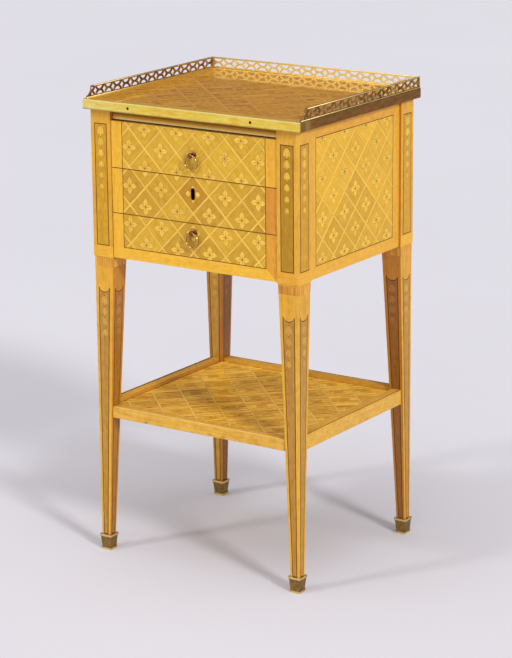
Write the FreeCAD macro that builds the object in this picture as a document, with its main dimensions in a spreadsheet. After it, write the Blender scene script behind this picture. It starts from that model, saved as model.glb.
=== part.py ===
import FreeCAD, Part
import os
import re
import Sketcher
from FreeCAD import Placement, Rotation, Vector

# A small writing table: three drawers and a writing slide in a case on four tapering legs,
# with a shelf between the legs and a pierced brass gallery round the top.
# Millimetres; +Z up, the front faces -Y, the origin on the floor under the middle of the table.

SIZES = {
    # Top and its brass edge
    "top_width": 388.0,
    "top_depth": 345.0,
    "top_thickness": 15.0,
    "overhang": 8.0,
    "edge_thickness": 2.8,
    "edge_return": 18.0,
    "edge_screw_head": 4.2,
    "edge_screw_head_depth": 1.2,
    "edge_screw_shank": 2.2,
    "edge_screw_length": 12.0,
    "edge_screw_from_end": 84.0,
    # Gallery
    "gallery_height": 17.5,
    "gallery_thickness": 1.8,
    "gallery_inset": 0.8,
    "gallery_top_rail": 2.7,
    "gallery_foot_rail": 2.3,
    "gallery_bar": 3.0,
    "gallery_moon_width": 15.2,
    "gallery_moon_height": 4.8,
    "gallery_pitch": 22.0,
    "gallery_setback": 7.0,
    "gallery_sweep": 12.0,
    # Case
    "leg_height": 477.0,
    "post_size": 36.5,
    "panel_recess": 4.0,
    "side_thickness": 12.0,
    "back_thickness": 10.0,
    "tongue_depth": 6.0,
    "tongue_thickness": 5.0,
    "divider_thickness": 10.0,
    "lock_divider_thickness": 12.0,
    "bearer_thickness": 8.0,
    "bottom_thickness": 8.0,
    "housing_depth": 4.0,
    "guide_height": 10.0,
    # Fits: glued joints, sliding faces, the sides of drawers and the room above them
    "joint_fit": 0.05,
    "run_gap": 0.3,
    "side_gap": 0.4,
    "head_room": 1.0,
    # Drawers
    "upper_height": 70.9,
    "middle_height": 68.5,
    "lower_height": 69.6,
    "drawer_gap": 1.2,
    "front_recess": 2.0,
    "front_thickness": 14.0,
    "drawer_side_thickness": 8.0,
    "drawer_back_thickness": 7.0,
    "drawer_back_drop": 4.0,
    "drawer_back_gap": 4.0,
    "drawer_bottom_thickness": 4.0,
    "drawer_bottom_rise": 5.0,
    "groove_depth": 4.0,
    "tail_length": 9.0,
    "tail_width": 11.0,
    "tail_flare": 1.5,
    # Writing slide
    "slide_gap": 2.0,
    "slide_head_gap": 0.5,
    "slide_front_height": 13.0,
    "slide_front_thickness": 8.0,
    "slide_front_recess": 7.0,
    "slide_thickness": 10.0,
    "leather_thickness": 1.0,
    "leather_side_margin": 16.0,
    "leather_front_margin": 12.0,
    "leather_back_margin": 70.0,
    # Legs and sabots
    "leg_step": 1.0,
    "leg_foot": 15.5,
    "foot_tenon": 12.5,
    "sabot_height": 25.5,
    "sabot_floor": 3.0,
    "sabot_plinth": 17.3,
    "sabot_plinth_height": 4.0,
    "sabot_waist": 15.9,
    "sabot_neck": 18.8,
    "sabot_lip": 21.6,
    "sabot_lip_height": 2.5,
    "sabot_flare_height": 3.0,
    # Shelf
    "shelf_height": 220.0,
    "shelf_rail_height": 17.3,
    "shelf_rail_width": 16.5,
    "shelf_rim": 5.9,
    "shelf_recess": 3.0,
    "shelf_sink": 0.4,
    "shelf_field_thickness": 4.0,
    "shelf_tongue_thickness": 4.0,
    "shelf_tongue_depth": 5.0,
    "tenon_length": 7.0,
    "tenon_thickness": 7.0,
    "tenon_height": 12.0,
    # Ring pulls
    "pull_spacing": 59.0,
    "knob_size": 8.6,
    "ring_size": 25.0,
    "ring_wire": 3.4,
    "ring_play": 0.35,
    "eye_length": 2.4,
    "eye_flare": 1.3,
    "shank_size": 4.0,
    "rosette_size": 15.0,
    "rosette_rim": 0.7,
    "rosette_thickness": 1.2,
    # Lock on the middle drawer
    "keyhole_drop": 24.5,
    "keyhole_width": 4.4,
    "keyhole_height": 15.0,
    "escutcheon_rim": 1.5,
    "escutcheon_thickness": 2.5,
    "lock_width": 44.0,
    "lock_height": 36.0,
    "lock_depth": 10.0,
    "lock_key_depth": 4.0,
    "bolt_width": 14.0,
    "bolt_depth": 4.0,
    "bolt_height": 12.0,
    "bolt_travel": 5.5,
    "bolt_wall": 1.5,
    "bolt_fit": 0.15,
    "lock_screw_head": 5.0,
    "lock_screw_head_height": 1.2,
    "lock_screw_shank": 2.4,
    "lock_screw_bite": 6.0,
    "lock_screw_inset": 5.0,
}

# How many dovetails join each drawer side to its front
TAIL_COUNT = 3

doc = FreeCAD.newDocument("WritingTable")
sheet = doc.addObject("Spreadsheet::Sheet", "Sizes")
for row, (size_name, number) in enumerate(SIZES.items(), start=1):
    sheet.set(f"A{row}", size_name)
    sheet.set(f"B{row}", str(number))
    sheet.setAlias(f"B{row}", size_name)
doc.recompute()


def on_sheet(text):
    """Point every size that an expression names at its cell of the sheet."""
    return re.sub(r"[a-z_]+", lambda word: "Sizes." + word[0] if word[0] in SIZES else word[0], text)


def value(text):
    """The number that an expression gives now."""
    return float(sheet.evalExpression(on_sheet(text)))


# Heights, from the floor up: each piece of the case stands on the one below it
LOWER_LOW = "(leg_height + drawer_gap)"
LOWER_HIGH = f"({LOWER_LOW} + lower_height)"
MIDDLE_LOW = f"({LOWER_HIGH} + drawer_gap)"
MIDDLE_HIGH = f"({MIDDLE_LOW} + middle_height)"
UPPER_LOW = f"({MIDDLE_HIGH} + drawer_gap)"
UPPER_HIGH = f"({UPPER_LOW} + upper_height)"
SLIDE_LOW = f"({UPPER_HIGH} + slide_gap)"
SLIDE_HIGH = f"({SLIDE_LOW} + slide_front_height)"
CASE_HIGH = f"({SLIDE_HIGH} + slide_head_gap)"
TOP_HIGH = f"({CASE_HIGH} + top_thickness)"
BOTTOM = ("leg_height", "leg_height + bottom_thickness")
LOWER_DIVIDER = (
    f"({LOWER_HIGH} + drawer_gap / 2 - divider_thickness / 2)",
    f"({LOWER_HIGH} + drawer_gap / 2 + divider_thickness / 2)",
)
UPPER_DIVIDER = (
    f"({MIDDLE_HIGH} + drawer_gap / 2 - lock_divider_thickness / 2)",
    f"({MIDDLE_HIGH} + drawer_gap / 2 + lock_divider_thickness / 2)",
)
SLIDE_BOARD_LOW = f"({SLIDE_HIGH} - slide_thickness)"
BEARER = (
    f"({SLIDE_BOARD_LOW} - run_gap - bearer_thickness)",
    f"({SLIDE_BOARD_LOW} - run_gap)",
)

# Places across the table, to the right of its middle
TOP_X = "(top_width / 2)"
CASE_X = f"({TOP_X} - overhang)"
OPENING_X = f"({CASE_X} - post_size)"
PANEL_X = (f"({CASE_X} - panel_recess - side_thickness)", f"({CASE_X} - panel_recess)")
DRAWER_X = f"({OPENING_X} - side_gap)"
DRAWER_INNER_X = f"({DRAWER_X} - drawer_side_thickness)"

# Places from front to back, behind the middle
TOP_Y = "(top_depth / 2)"
CASE_Y = f"({TOP_Y} - overhang)"
POST_Y = f"({CASE_Y} - post_size)"
BACK_Y = (f"({CASE_Y} - panel_recess - back_thickness)", f"({CASE_Y} - panel_recess)")
FRONT_FACE_Y = f"(-{CASE_Y} + front_recess)"
FRONT_BACK_Y = f"({FRONT_FACE_Y} + front_thickness)"
DIVIDER_FRONT_Y = f"({FRONT_BACK_Y} + run_gap)"
DRAWER_REAR_Y = f"({BACK_Y[0]} - drawer_back_gap)"

# The legs: their outer faces stay upright and their inner faces run in towards the foot
LEG_X = f"({CASE_X} - leg_step)"
LEG_Y = f"({CASE_Y} - leg_step)"
LEG_HEAD = "(post_size - 2 * leg_step)"
FOOT_X = f"({LEG_X} - leg_foot / 2)"
FOOT_Y = f"({LEG_Y} - leg_foot / 2)"
SHELF_HIGH = "(shelf_height + shelf_rail_height)"
RIM_HIGH = f"({SHELF_HIGH} + shelf_rim)"
LEG_AT_SHELF = (
    f"(leg_foot + ({LEG_HEAD} - leg_foot) * ({RIM_HIGH} - sabot_height) / (leg_height - sabot_height))"
)
SHELF_PANEL_HIGH = f"({SHELF_HIGH} - shelf_sink)"
SHELF_TONGUE_HIGH = f"({SHELF_PANEL_HIGH} - shelf_field_thickness)"
SHELF_TONGUE = (f"({SHELF_TONGUE_HIGH} - shelf_tongue_thickness)", SHELF_TONGUE_HIGH)

# The keyhole and the two pulls stand in one column on the fronts
KEYHOLE_Z = f"({MIDDLE_HIGH} - keyhole_drop)"
UPPER_PULL_Z = f"({KEYHOLE_Z} + pull_spacing)"
LOWER_PULL_Z = f"({KEYHOLE_Z} - pull_spacing)"
KNOB_REACH = "(rosette_thickness + knob_size / 2)"
RING_Y = f"({FRONT_FACE_Y} - {KNOB_REACH})"
RING_RADIUS = "((ring_size - ring_wire) / 2)"

# Where the lock's case hangs behind the middle drawer's front
LOCK_HIGH = f"({UPPER_DIVIDER[0]} - head_room)"
LOCK_Y = (FRONT_BACK_Y, f"({FRONT_BACK_Y} + lock_depth)")
BOLT_Y = f"({LOCK_Y[1]} - bolt_wall - bolt_depth / 2)"

TURNS = {
    "x": Rotation(Vector(0, 1, 0), 90),
    "y": Rotation(Vector(1, 0, 0), -90),
    "z": Rotation(),
}
SIDES = {"left": -1, "right": 1}
ENDS = {"front": -1, "back": 1}
nodes = []


def node(solid, name):
    """Count a finished solid as one piece of the table, under its own name."""
    solid.Label = name
    nodes.append(solid)
    return solid


def bind(solid, **places):
    for property_name, expression in places.items():
        solid.setExpression(property_name, on_sheet(expression))


def put(solid, x, y, z):
    for axis, expression in zip("xyz", (x, y, z)):
        solid.setExpression(f"Placement.Base.{axis}", on_sheet(expression))


def flip(side, low, high):
    """A range on the plus side of the middle, or its mirror image on the minus side."""
    return (low, high) if side > 0 else (f"-({high})", f"-({low})")


def about(middle, width):
    return (f"({middle}) - ({width}) / 2", f"({middle}) + ({width}) / 2")


def both(reach):
    return (f"-({reach})", reach)


def board(name, x, y, z):
    """A rectangular solid between two places on each axis."""
    solid = doc.addObject("Part::Box", name)
    put(solid, x[0], y[0], z[0])
    bind(
        solid,
        Length=f"({x[1]}) - ({x[0]})",
        Width=f"({y[1]}) - ({y[0]})",
        Height=f"({z[1]}) - ({z[0]})",
    )
    return solid


def frustum(name, z, foot, head):
    """A tapering upright solid; foot and head are its x and y ranges at its two ends."""
    solid = doc.addObject("Part::Wedge", name)
    solid.Placement = Placement(Vector(), Rotation(Vector(1, 0, 0), 90))
    bind(
        solid,
        Ymin=z[0],
        Ymax=z[1],
        Xmin=foot[0][0],
        Xmax=foot[0][1],
        X2min=head[0][0],
        X2max=head[0][1],
        Zmin=f"-({foot[1][1]})",
        Zmax=f"-({foot[1][0]})",
        Z2min=f"-({head[1][1]})",
        Z2max=f"-({head[1][0]})",
    )
    return solid


def rod(name, axis, start, size, length):
    """A round bar of a given diameter that runs along an axis from its start."""
    solid = doc.addObject("Part::Cylinder", name)
    solid.Placement = Placement(Vector(), TURNS[axis])
    put(solid, *start)
    bind(solid, Radius=f"({size}) / 2", Height=length)
    return solid


def join(name, pieces):
    solid = doc.addObject("Part::MultiFuse", name)
    solid.Shapes = pieces
    solid.Refine = True
    return solid


def carve(name, blank, tools):
    solid = doc.addObject("Part::Cut", name)
    solid.Base = blank
    solid.Tool = tools[0] if len(tools) == 1 else join(name + "_tools", tools)
    solid.Refine = True
    return solid


def group(name, pieces):
    solid = doc.addObject("Part::Compound", name)
    solid.Links = pieces
    return solid


def turned(name, rings):
    """A turned piece from the radius and height of each corner of its half section."""
    body = doc.addObject("PartDesign::Body", name)
    sketch = body.newObject("Sketcher::SketchObject", name + "_section")
    plane = next(part for part in body.Origin.OriginFeatures if part.Role == "XZ_Plane")
    sketch.AttachmentSupport = [(plane, "")]
    sketch.MapMode = "FlatFace"
    corners = [Vector(value(radius), value(height), 0) for radius, height in rings]
    count = len(corners)
    for index in range(count):
        sketch.addGeometry(Part.LineSegment(corners[index], corners[(index + 1) % count]), False)
    for index in range(count):
        sketch.addConstraint(Sketcher.Constraint("Coincident", index, 2, (index + 1) % count, 1))
    for index, expressions in enumerate(rings):
        for kind, expression in zip(("DistanceX", "DistanceY"), expressions):
            limit = Sketcher.Constraint(kind, -1, 1, index, 1, value(expression))
            number = sketch.addConstraint(limit)
            sketch.setExpression(f"Constraints[{number}]", on_sheet(expression))
    turn = body.newObject("PartDesign::Revolution", name + "_turn")
    turn.Profile = sketch
    turn.ReferenceAxis = (sketch, ["V_Axis"])
    turn.Angle = 360
    return body


def keyhole(name, width, height, y, length):
    """An upright slot with round ends, through the drawer front at the keyhole."""
    straight = f"(({height}) - ({width})) / 2"
    ends = [
        rod(f"{name}_{end}", "y", ("0", y, f"{KEYHOLE_Z} {sign} {straight}"), width, length)
        for end, sign in (("high", "+"), ("low", "-"))
    ]
    middle = board(
        name + "_middle",
        about("0", width),
        (y, f"{y} + {length}"),
        (f"{KEYHOLE_Z} - {straight}", f"{KEYHOLE_Z} + {straight}"),
    )
    return join(name, ends + [middle])


def make_legs():
    for end, sy in ENDS.items():
        for side, sx in SIDES.items():
            name = f"leg_{end}_{side}"
            post = board(
                name + "_post",
                flip(sx, OPENING_X, CASE_X),
                flip(sy, POST_Y, CASE_Y),
                ("leg_height", CASE_HIGH),
            )
            taper = frustum(
                name + "_taper",
                ("sabot_height", "leg_height"),
                (flip(sx, f"{LEG_X} - leg_foot", LEG_X), flip(sy, f"{LEG_Y} - leg_foot", LEG_Y)),
                (flip(sx, f"{LEG_X} - {LEG_HEAD}", LEG_X), flip(sy, f"{LEG_Y} - {LEG_HEAD}", LEG_Y)),
            )
            tenon = board(
                name + "_tenon",
                about(f"{sx} * {FOOT_X}", "foot_tenon"),
                about(f"{sy} * {FOOT_Y}", "foot_tenon"),
                ("sabot_floor", "sabot_height"),
            )
            blank = join(name + "_blank", [post, taper, tenon])
            node(carve(name, blank, leg_mortises(name, end, sx, sy)), name)


def leg_mortises(name, end, sx, sy):
    """Grooves for the panels' tongues and mortises for the shelf rails' tenons."""
    groove = "(tongue_thickness + 2 * joint_fit)"
    reach = "(tongue_depth + joint_fit)"
    panel_middle = f"({PANEL_X[0]} + side_thickness / 2)"
    tools = [
        board(
            name + "_side_groove",
            about(f"{sx} * {panel_middle}", groove),
            flip(sy, POST_Y, f"{POST_Y} + {reach}"),
            ("leg_height", CASE_HIGH),
        )
    ]
    if end == "back":
        back_middle = f"({BACK_Y[0]} + back_thickness / 2)"
        tools.append(
            board(
                name + "_back_groove",
                flip(sx, OPENING_X, f"{OPENING_X} + {reach}"),
                about(back_middle, groove),
                ("leg_height", CASE_HIGH),
            )
        )
    slot = "(tenon_thickness + 2 * joint_fit)"
    rail_middle = "(shelf_recess + shelf_rail_width / 2)"
    height = about("shelf_height + shelf_rail_height / 2", "tenon_height + 2 * joint_fit")
    inner_x = f"({LEG_X} - {LEG_AT_SHELF} - joint_fit)"
    inner_y = f"({LEG_Y} - {LEG_AT_SHELF} - joint_fit)"
    tools.append(
        board(
            name + "_rail_mortise_x",
            flip(sx, inner_x, f"{inner_x} + tenon_length + joint_fit"),
            about(f"{sy} * ({LEG_Y} - {rail_middle})", slot),
            height,
        )
    )
    tools.append(
        board(
            name + "_rail_mortise_y",
            about(f"{sx} * ({LEG_X} - {rail_middle})", slot),
            flip(sy, inner_y, f"{inner_y} + tenon_length + joint_fit"),
            height,
        )
    )
    return tools


def make_sabots():
    for end, sy in ENDS.items():
        for side, sx in SIDES.items():
            name = f"sabot_{end}_{side}"
            middle = (f"{sx} * {FOOT_X}", f"{sy} * {FOOT_Y}")

            def square(width, place=middle):
                return (about(place[0], width), about(place[1], width))

            neck_z = "(sabot_height - sabot_lip_height - sabot_flare_height)"
            lip_z = "(sabot_height - sabot_lip_height)"
            pieces = [
                board(name + "_plinth", *square("sabot_plinth"), ("0", "sabot_plinth_height")),
                frustum(
                    name + "_body",
                    ("sabot_plinth_height", neck_z),
                    square("sabot_waist"),
                    square("sabot_neck"),
                ),
                frustum(name + "_flare", (neck_z, lip_z), square("sabot_neck"), square("sabot_lip")),
                board(name + "_lip", *square("sabot_lip"), (lip_z, "sabot_height")),
            ]
            socket = board(
                name + "_socket",
                *square("foot_tenon + 2 * joint_fit"),
                ("sabot_floor", "sabot_height"),
            )
            node(carve(name, join(name + "_blank", pieces), [socket]), name)


def make_panels():
    """The two side panels and the back, tongued into the posts, with housings for the dividers."""
    height = ("leg_height", CASE_HIGH)
    for side, sx in SIDES.items():
        name = f"side_panel_{side}"
        panel = board(name + "_panel", flip(sx, *PANEL_X), both(POST_Y), height)
        middle = f"({PANEL_X[0]} + side_thickness / 2)"
        tongue = board(
            name + "_tongue",
            about(f"{sx} * {middle}", "tongue_thickness"),
            both(f"({POST_Y} + tongue_depth)"),
            height,
        )
        housings = [
            board(
                f"{name}_housing_{index}",
                flip(sx, PANEL_X[0], f"{PANEL_X[0]} + housing_depth + joint_fit"),
                both(POST_Y),
                (f"{low} - joint_fit", f"{high} + joint_fit"),
            )
            for index, (low, high) in enumerate((BOTTOM, LOWER_DIVIDER, UPPER_DIVIDER, BEARER))
        ]
        node(carve(name, join(name + "_blank", [panel, tongue]), housings), name)
    panel = board("back_panel_panel", both(OPENING_X), BACK_Y, height)
    tongue = board(
        "back_panel_tongue",
        both(f"({OPENING_X} + tongue_depth)"),
        about(f"{BACK_Y[0]} + back_thickness / 2", "tongue_thickness"),
        height,
    )
    node(join("back_panel", [panel, tongue]), "back_panel")


def make_dividers():
    """The boards under each drawer and under the slide, with ears housed in the side panels."""
    levels = {
        "case_bottom": BOTTOM,
        "lower_divider": LOWER_DIVIDER,
        "upper_divider": UPPER_DIVIDER,
        "slide_bearer": BEARER,
    }
    for name, height in levels.items():
        middle = board(name + "_middle", both(OPENING_X), (DIVIDER_FRONT_Y, BACK_Y[0]), height)
        ears = board(
            name + "_ears",
            both(f"({PANEL_X[0]} + housing_depth)"),
            both(POST_Y),
            height,
        )
        if name != "upper_divider":
            node(join(name, [middle, ears]), name)
            continue
        blank = join(name + "_blank", [middle, ears])
        mortise = board(
            "bolt_mortise",
            about("0", "bolt_width + 4 * bolt_fit"),
            about(BOLT_Y, "bolt_depth + 4 * bolt_fit"),
            (UPPER_DIVIDER[0], f"{LOCK_HIGH} + bolt_travel + head_room / 2"),
        )
        node(carve(name, blank, [mortise]), name)


def make_guides():
    """Strips on the dividers that fill in between posts and keep drawers and slide straight."""
    levels = (BOTTOM, LOWER_DIVIDER, UPPER_DIVIDER)
    for side, sx in SIDES.items():
        name = f"drawer_guides_{side}"
        width = flip(sx, OPENING_X, PANEL_X[0])
        strips = [
            board(f"{name}_{index}", width, both(POST_Y), (high, f"{high} + guide_height"))
            for index, (low, high) in enumerate(levels)
        ]
        strips.append(board(f"{name}_slide", width, both(POST_Y), (BEARER[1], CASE_HIGH)))
        node(group(name, strips), name)


def make_top():
    board_x = f"({TOP_X} - edge_thickness)"
    board_y = f"({TOP_Y} - edge_thickness)"
    height = (CASE_HIGH, TOP_HIGH)
    screw_x = f"({TOP_X} - edge_screw_from_end)"
    screw_z = f"({CASE_HIGH} + top_thickness / 2)"
    screws = []
    shank_holes = []
    head_holes = []
    for side, sx in SIDES.items():
        head = rod(
            f"edge_screw_{side}_head",
            "y",
            (f"{sx} * {screw_x}", f"-{TOP_Y}", screw_z),
            "edge_screw_head",
            "edge_screw_head_depth",
        )
        shank = rod(
            f"edge_screw_{side}_shank",
            "y",
            (f"{sx} * {screw_x}", f"-{TOP_Y}", screw_z),
            "edge_screw_shank",
            "edge_screw_length",
        )
        screws.append(join(f"edge_screw_{side}", [head, shank]))
        head_holes.append(
            rod(
                f"edge_screw_{side}_seat",
                "y",
                (f"{sx} * {screw_x}", f"-{TOP_Y}", screw_z),
                "edge_screw_head + 2 * joint_fit",
                "edge_screw_head_depth",
            )
        )
        shank_holes.append(
            rod(
                f"edge_screw_{side}_hole",
                "y",
                (f"{sx} * {screw_x}", f"-{TOP_Y}", screw_z),
                "edge_screw_shank + 2 * joint_fit",
                "edge_screw_length + joint_fit",
            )
        )
    node(group("edge_band_screws", screws), "edge_band_screws")
    blank = board("top_board_blank", both(board_x), both(board_y), height)
    node(carve("top_board", blank, shank_holes), "top_board")
    strip = board("edge_band_front_strip", both(TOP_X), (f"-{TOP_Y}", f"-{board_y}"), height)
    return_end = f"(-{TOP_Y} + edge_return)"
    returns = [
        board(f"edge_band_front_{side}", flip(sx, board_x, TOP_X), (f"-{TOP_Y}", return_end), height)
        for side, sx in SIDES.items()
    ]
    band = join("edge_band_front_blank", [strip] + returns)
    node(carve("edge_band_front", band, head_holes + shank_holes), "edge_band_front")
    for side, sx in SIDES.items():
        name = f"edge_band_{side}"
        node(board(name, flip(sx, board_x, TOP_X), (return_end, board_y), height), name)
    node(board("edge_band_back", both(TOP_X), (board_y, TOP_Y), height), "edge_band_back")


def pierced_rail(length):
    """A flat gallery of that length along X, from its middle: rails joined by crossing arcs."""
    height = value("gallery_height")
    depth = value("gallery_thickness")
    bar = value("gallery_bar")
    low = value("gallery_foot_rail")
    high = height - value("gallery_top_rail")
    half_width = value("gallery_moon_width") / 2
    rise = value("gallery_moon_height")
    inner = (half_width**2 + rise**2) / (2 * rise)
    count = round(length / value("gallery_pitch"))
    pitch = length / count
    start = Vector(-length / 2, 0, 0)
    arcs = []
    for index in range(count):
        middle = -length / 2 + (index + 0.5) * pitch
        for centre in (high + inner - rise, low - inner + rise):
            place = Vector(middle, 0, centre)
            ring = Part.makeCylinder(inner + bar, depth, place, Vector(0, 1, 0))
            arcs.append(ring.cut(Part.makeCylinder(inner, depth, place, Vector(0, 1, 0))))
    lattice = arcs[0].multiFuse(arcs[1:])
    strip = Part.makeBox(length, depth, high - low, start + Vector(0, 0, low))
    frame = [
        Part.makeBox(length, depth, low, start),
        Part.makeBox(length, depth, height - high, start + Vector(0, 0, high)),
        Part.makeBox(bar, depth, height, start),
        Part.makeBox(bar, depth, height, start + Vector(length - bar, 0, 0)),
    ]
    return lattice.common(strip).multiFuse(frame).removeSplitter()


def swept_end(rail, length):
    """A side gallery whose front end sweeps up from the top, hollow like the bell of a horn."""
    height = value("gallery_height") - value("gallery_foot_rail")
    sweep = value("gallery_sweep")
    depth = value("gallery_thickness")
    radius = (sweep**2 + height**2) / (2 * sweep)
    place = Vector(-length / 2 + sweep - radius, 0, value("gallery_height"))
    bite = Part.makeCylinder(radius, depth, place, Vector(0, 1, 0))
    corner = Part.makeBox(sweep, depth, height, Vector(-length / 2, 0, value("gallery_foot_rail")))
    end = corner.cut(bite)
    return rail.cut(corner).fuse(end).removeSplitter()


def make_gallery():
    edge_x = value(f"{TOP_X} - gallery_inset")
    edge_y = value(f"{TOP_Y} - gallery_inset")
    depth = value("gallery_thickness")
    foot = value(TOP_HIGH)
    back = doc.addObject("Part::Feature", "gallery_back")
    back.Shape = pierced_rail(2 * edge_x)
    back.Placement = Placement(Vector(0, edge_y - depth, foot), Rotation())
    node(back, "gallery_back")
    front_y = value(f"-{TOP_Y} + gallery_setback")
    length = edge_y - depth - front_y
    shape = swept_end(pierced_rail(length), length)
    for side, sx in SIDES.items():
        rail = doc.addObject("Part::Feature", f"gallery_{side}")
        rail.Shape = shape
        outer = sx * edge_x if sx > 0 else sx * edge_x + depth
        middle = Vector(outer, front_y + length / 2, foot)
        rail.Placement = Placement(middle, Rotation(Vector(0, 0, 1), 90))
        node(rail, f"gallery_{side}")


def make_slide():
    face = f"(-{CASE_Y} + slide_front_recess)"
    back = f"({face} + slide_front_thickness)"
    node(board("slide_front", both(DRAWER_X), (face, back), (SLIDE_LOW, SLIDE_HIGH)), "slide_front")
    leather_x = f"({DRAWER_X} - leather_side_margin)"
    leather_y = (f"{back} + leather_front_margin", f"{DRAWER_REAR_Y} - leather_back_margin")
    leather_z = (f"{SLIDE_HIGH} - leather_thickness", SLIDE_HIGH)
    blank = board(
        "slide_board_blank",
        both(DRAWER_X),
        (back, DRAWER_REAR_Y),
        (SLIDE_BOARD_LOW, SLIDE_HIGH),
    )
    bed = board("slide_board_bed", both(leather_x), leather_y, leather_z)
    node(carve("slide_board", blank, [bed]), "slide_board")
    skin = board(
        "slide_leather",
        both(f"{leather_x} - joint_fit"),
        (f"{leather_y[0]} + joint_fit", f"{leather_y[1]} - joint_fit"),
        leather_z,
    )
    node(skin, "slide_leather")


def dovetails(name, sx, low, high):
    """Tails at the front end of a drawer side, which widen into the back of the front."""
    tails = []
    x = flip(sx, DRAWER_INNER_X, DRAWER_X)
    for index in range(TAIL_COUNT):
        middle = f"({low} + ({high} - {low}) * {index + 0.5} / {TAIL_COUNT})"
        wide = about(middle, "tail_width")
        narrow = about(middle, "tail_width - 2 * tail_flare")
        tail = doc.addObject("Part::Wedge", f"{name}_tail_{index}")
        bind(
            tail,
            Ymin=f"{FRONT_BACK_Y} - tail_length",
            Ymax=FRONT_BACK_Y,
            Xmin=x[0],
            Xmax=x[1],
            X2min=x[0],
            X2max=x[1],
            Zmin=wide[0],
            Zmax=wide[1],
            Z2min=narrow[0],
            Z2max=narrow[1],
        )
        tails.append(tail)
    return tails


def make_drawer(name, front_z, runner_z, ceiling_z, front_holes):
    """One dovetailed drawer: a front, two sides, a back and a bottom in grooves."""
    low = f"({runner_z} + run_gap)"
    high = f"({ceiling_z} - head_room)"
    bottom_low = f"({low} + drawer_bottom_rise)"
    bottom_high = f"({bottom_low} + drawer_bottom_thickness)"
    groove_z = (bottom_low, bottom_high)
    groove_x = f"({DRAWER_INNER_X} + groove_depth)"
    sockets = []
    for side, sx in SIDES.items():
        side_name = f"{name}_side_{side}"
        tails = dovetails(side_name, sx, low, high)
        sockets += tails
        plank = board(
            side_name + "_plank",
            flip(sx, DRAWER_INNER_X, DRAWER_X),
            (FRONT_BACK_Y, DRAWER_REAR_Y),
            (low, high),
        )
        groove = board(
            side_name + "_groove",
            flip(sx, DRAWER_INNER_X, groove_x),
            (FRONT_BACK_Y, DRAWER_REAR_Y),
            groove_z,
        )
        blank = join(side_name + "_blank", [plank] + tails)
        node(carve(side_name, blank, [groove]), side_name)
    front_name = f"{name}_front"
    blank = board(front_name + "_blank", both(DRAWER_X), (FRONT_FACE_Y, FRONT_BACK_Y), front_z)
    groove = board(
        front_name + "_groove",
        both(DRAWER_INNER_X),
        (f"{FRONT_BACK_Y} - groove_depth", FRONT_BACK_Y),
        groove_z,
    )
    node(carve(front_name, blank, sockets + [groove] + front_holes), front_name)
    back_name = f"{name}_back"
    back = board(
        back_name,
        both(DRAWER_INNER_X),
        (f"{DRAWER_REAR_Y} - drawer_back_thickness", DRAWER_REAR_Y),
        (bottom_high, f"{high} - drawer_back_drop"),
    )
    node(back, back_name)
    bottom_name = f"{name}_bottom"
    panel = board(
        bottom_name + "_panel",
        both(f"({groove_x} - joint_fit)"),
        (FRONT_BACK_Y, DRAWER_REAR_Y),
        groove_z,
    )
    tongue = board(
        bottom_name + "_tongue",
        both(f"({DRAWER_INNER_X} - joint_fit)"),
        (f"{FRONT_BACK_Y} - groove_depth + joint_fit", FRONT_BACK_Y),
        groove_z,
    )
    node(join(bottom_name, [panel, tongue]), bottom_name)


def make_pull(name, height):
    """A knob whose eye carries a hanging ring, its rosette, and the hole that they need."""
    eye = "(ring_wire + 2 * ring_play)"
    knob = doc.addObject("Part::Sphere", name + "_knob_ball")
    put(knob, "0", RING_Y, height)
    bind(knob, Radius="knob_size / 2")
    start = ("0", RING_Y, height)
    shank = rod(name + "_knob_shank", "y", start, "shank_size", f"{KNOB_REACH} + front_thickness")
    bore = rod(name + "_eye", "x", ("-knob_size", RING_Y, height), eye, "2 * knob_size")
    flares = []
    for side, sx in SIDES.items():
        flare = doc.addObject("Part::Cone", f"{name}_eye_{side}")
        flare.Placement = Placement(Vector(), TURNS["x"])
        near_x = "eye_length / 2" if sx > 0 else "-(eye_length + knob_size) / 2"
        put(flare, near_x, RING_Y, height)
        near = f"{eye} / 2"
        far = f"{eye} / 2 + eye_flare"
        bind(
            flare,
            Radius1=near if sx > 0 else far,
            Radius2=far if sx > 0 else near,
            Height="knob_size / 2",
        )
        flares.append(flare)
    blank = join(name + "_knob_blank", [knob, shank])
    node(carve(name + "_knob", blank, [bore] + flares), name + "_knob")
    ring = doc.addObject("Part::Torus", name + "_ring")
    ring.Placement = Placement(Vector(), TURNS["y"])
    put(ring, "0", RING_Y, f"{height} - {RING_RADIUS}")
    bind(ring, Radius1=RING_RADIUS, Radius2="ring_wire / 2")
    node(ring, name + "_ring")
    hole = "shank_size / 2 + joint_fit"
    rosette = turned(
        name + "_rosette",
        (
            (hole, "0"),
            ("rosette_size / 2", "0"),
            ("rosette_size / 2", "rosette_rim"),
            ("rosette_size / 2 - rosette_rim", "rosette_rim"),
            (hole, "rosette_thickness"),
        ),
    )
    rosette.Placement = Placement(Vector(), Rotation(Vector(1, 0, 0), 90))
    put(rosette, "0", FRONT_FACE_Y, height)
    node(rosette, name + "_rosette")
    return rod(
        name + "_hole",
        "y",
        ("0", FRONT_FACE_Y, height),
        "shank_size + 2 * joint_fit",
        "front_thickness",
    )


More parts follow.
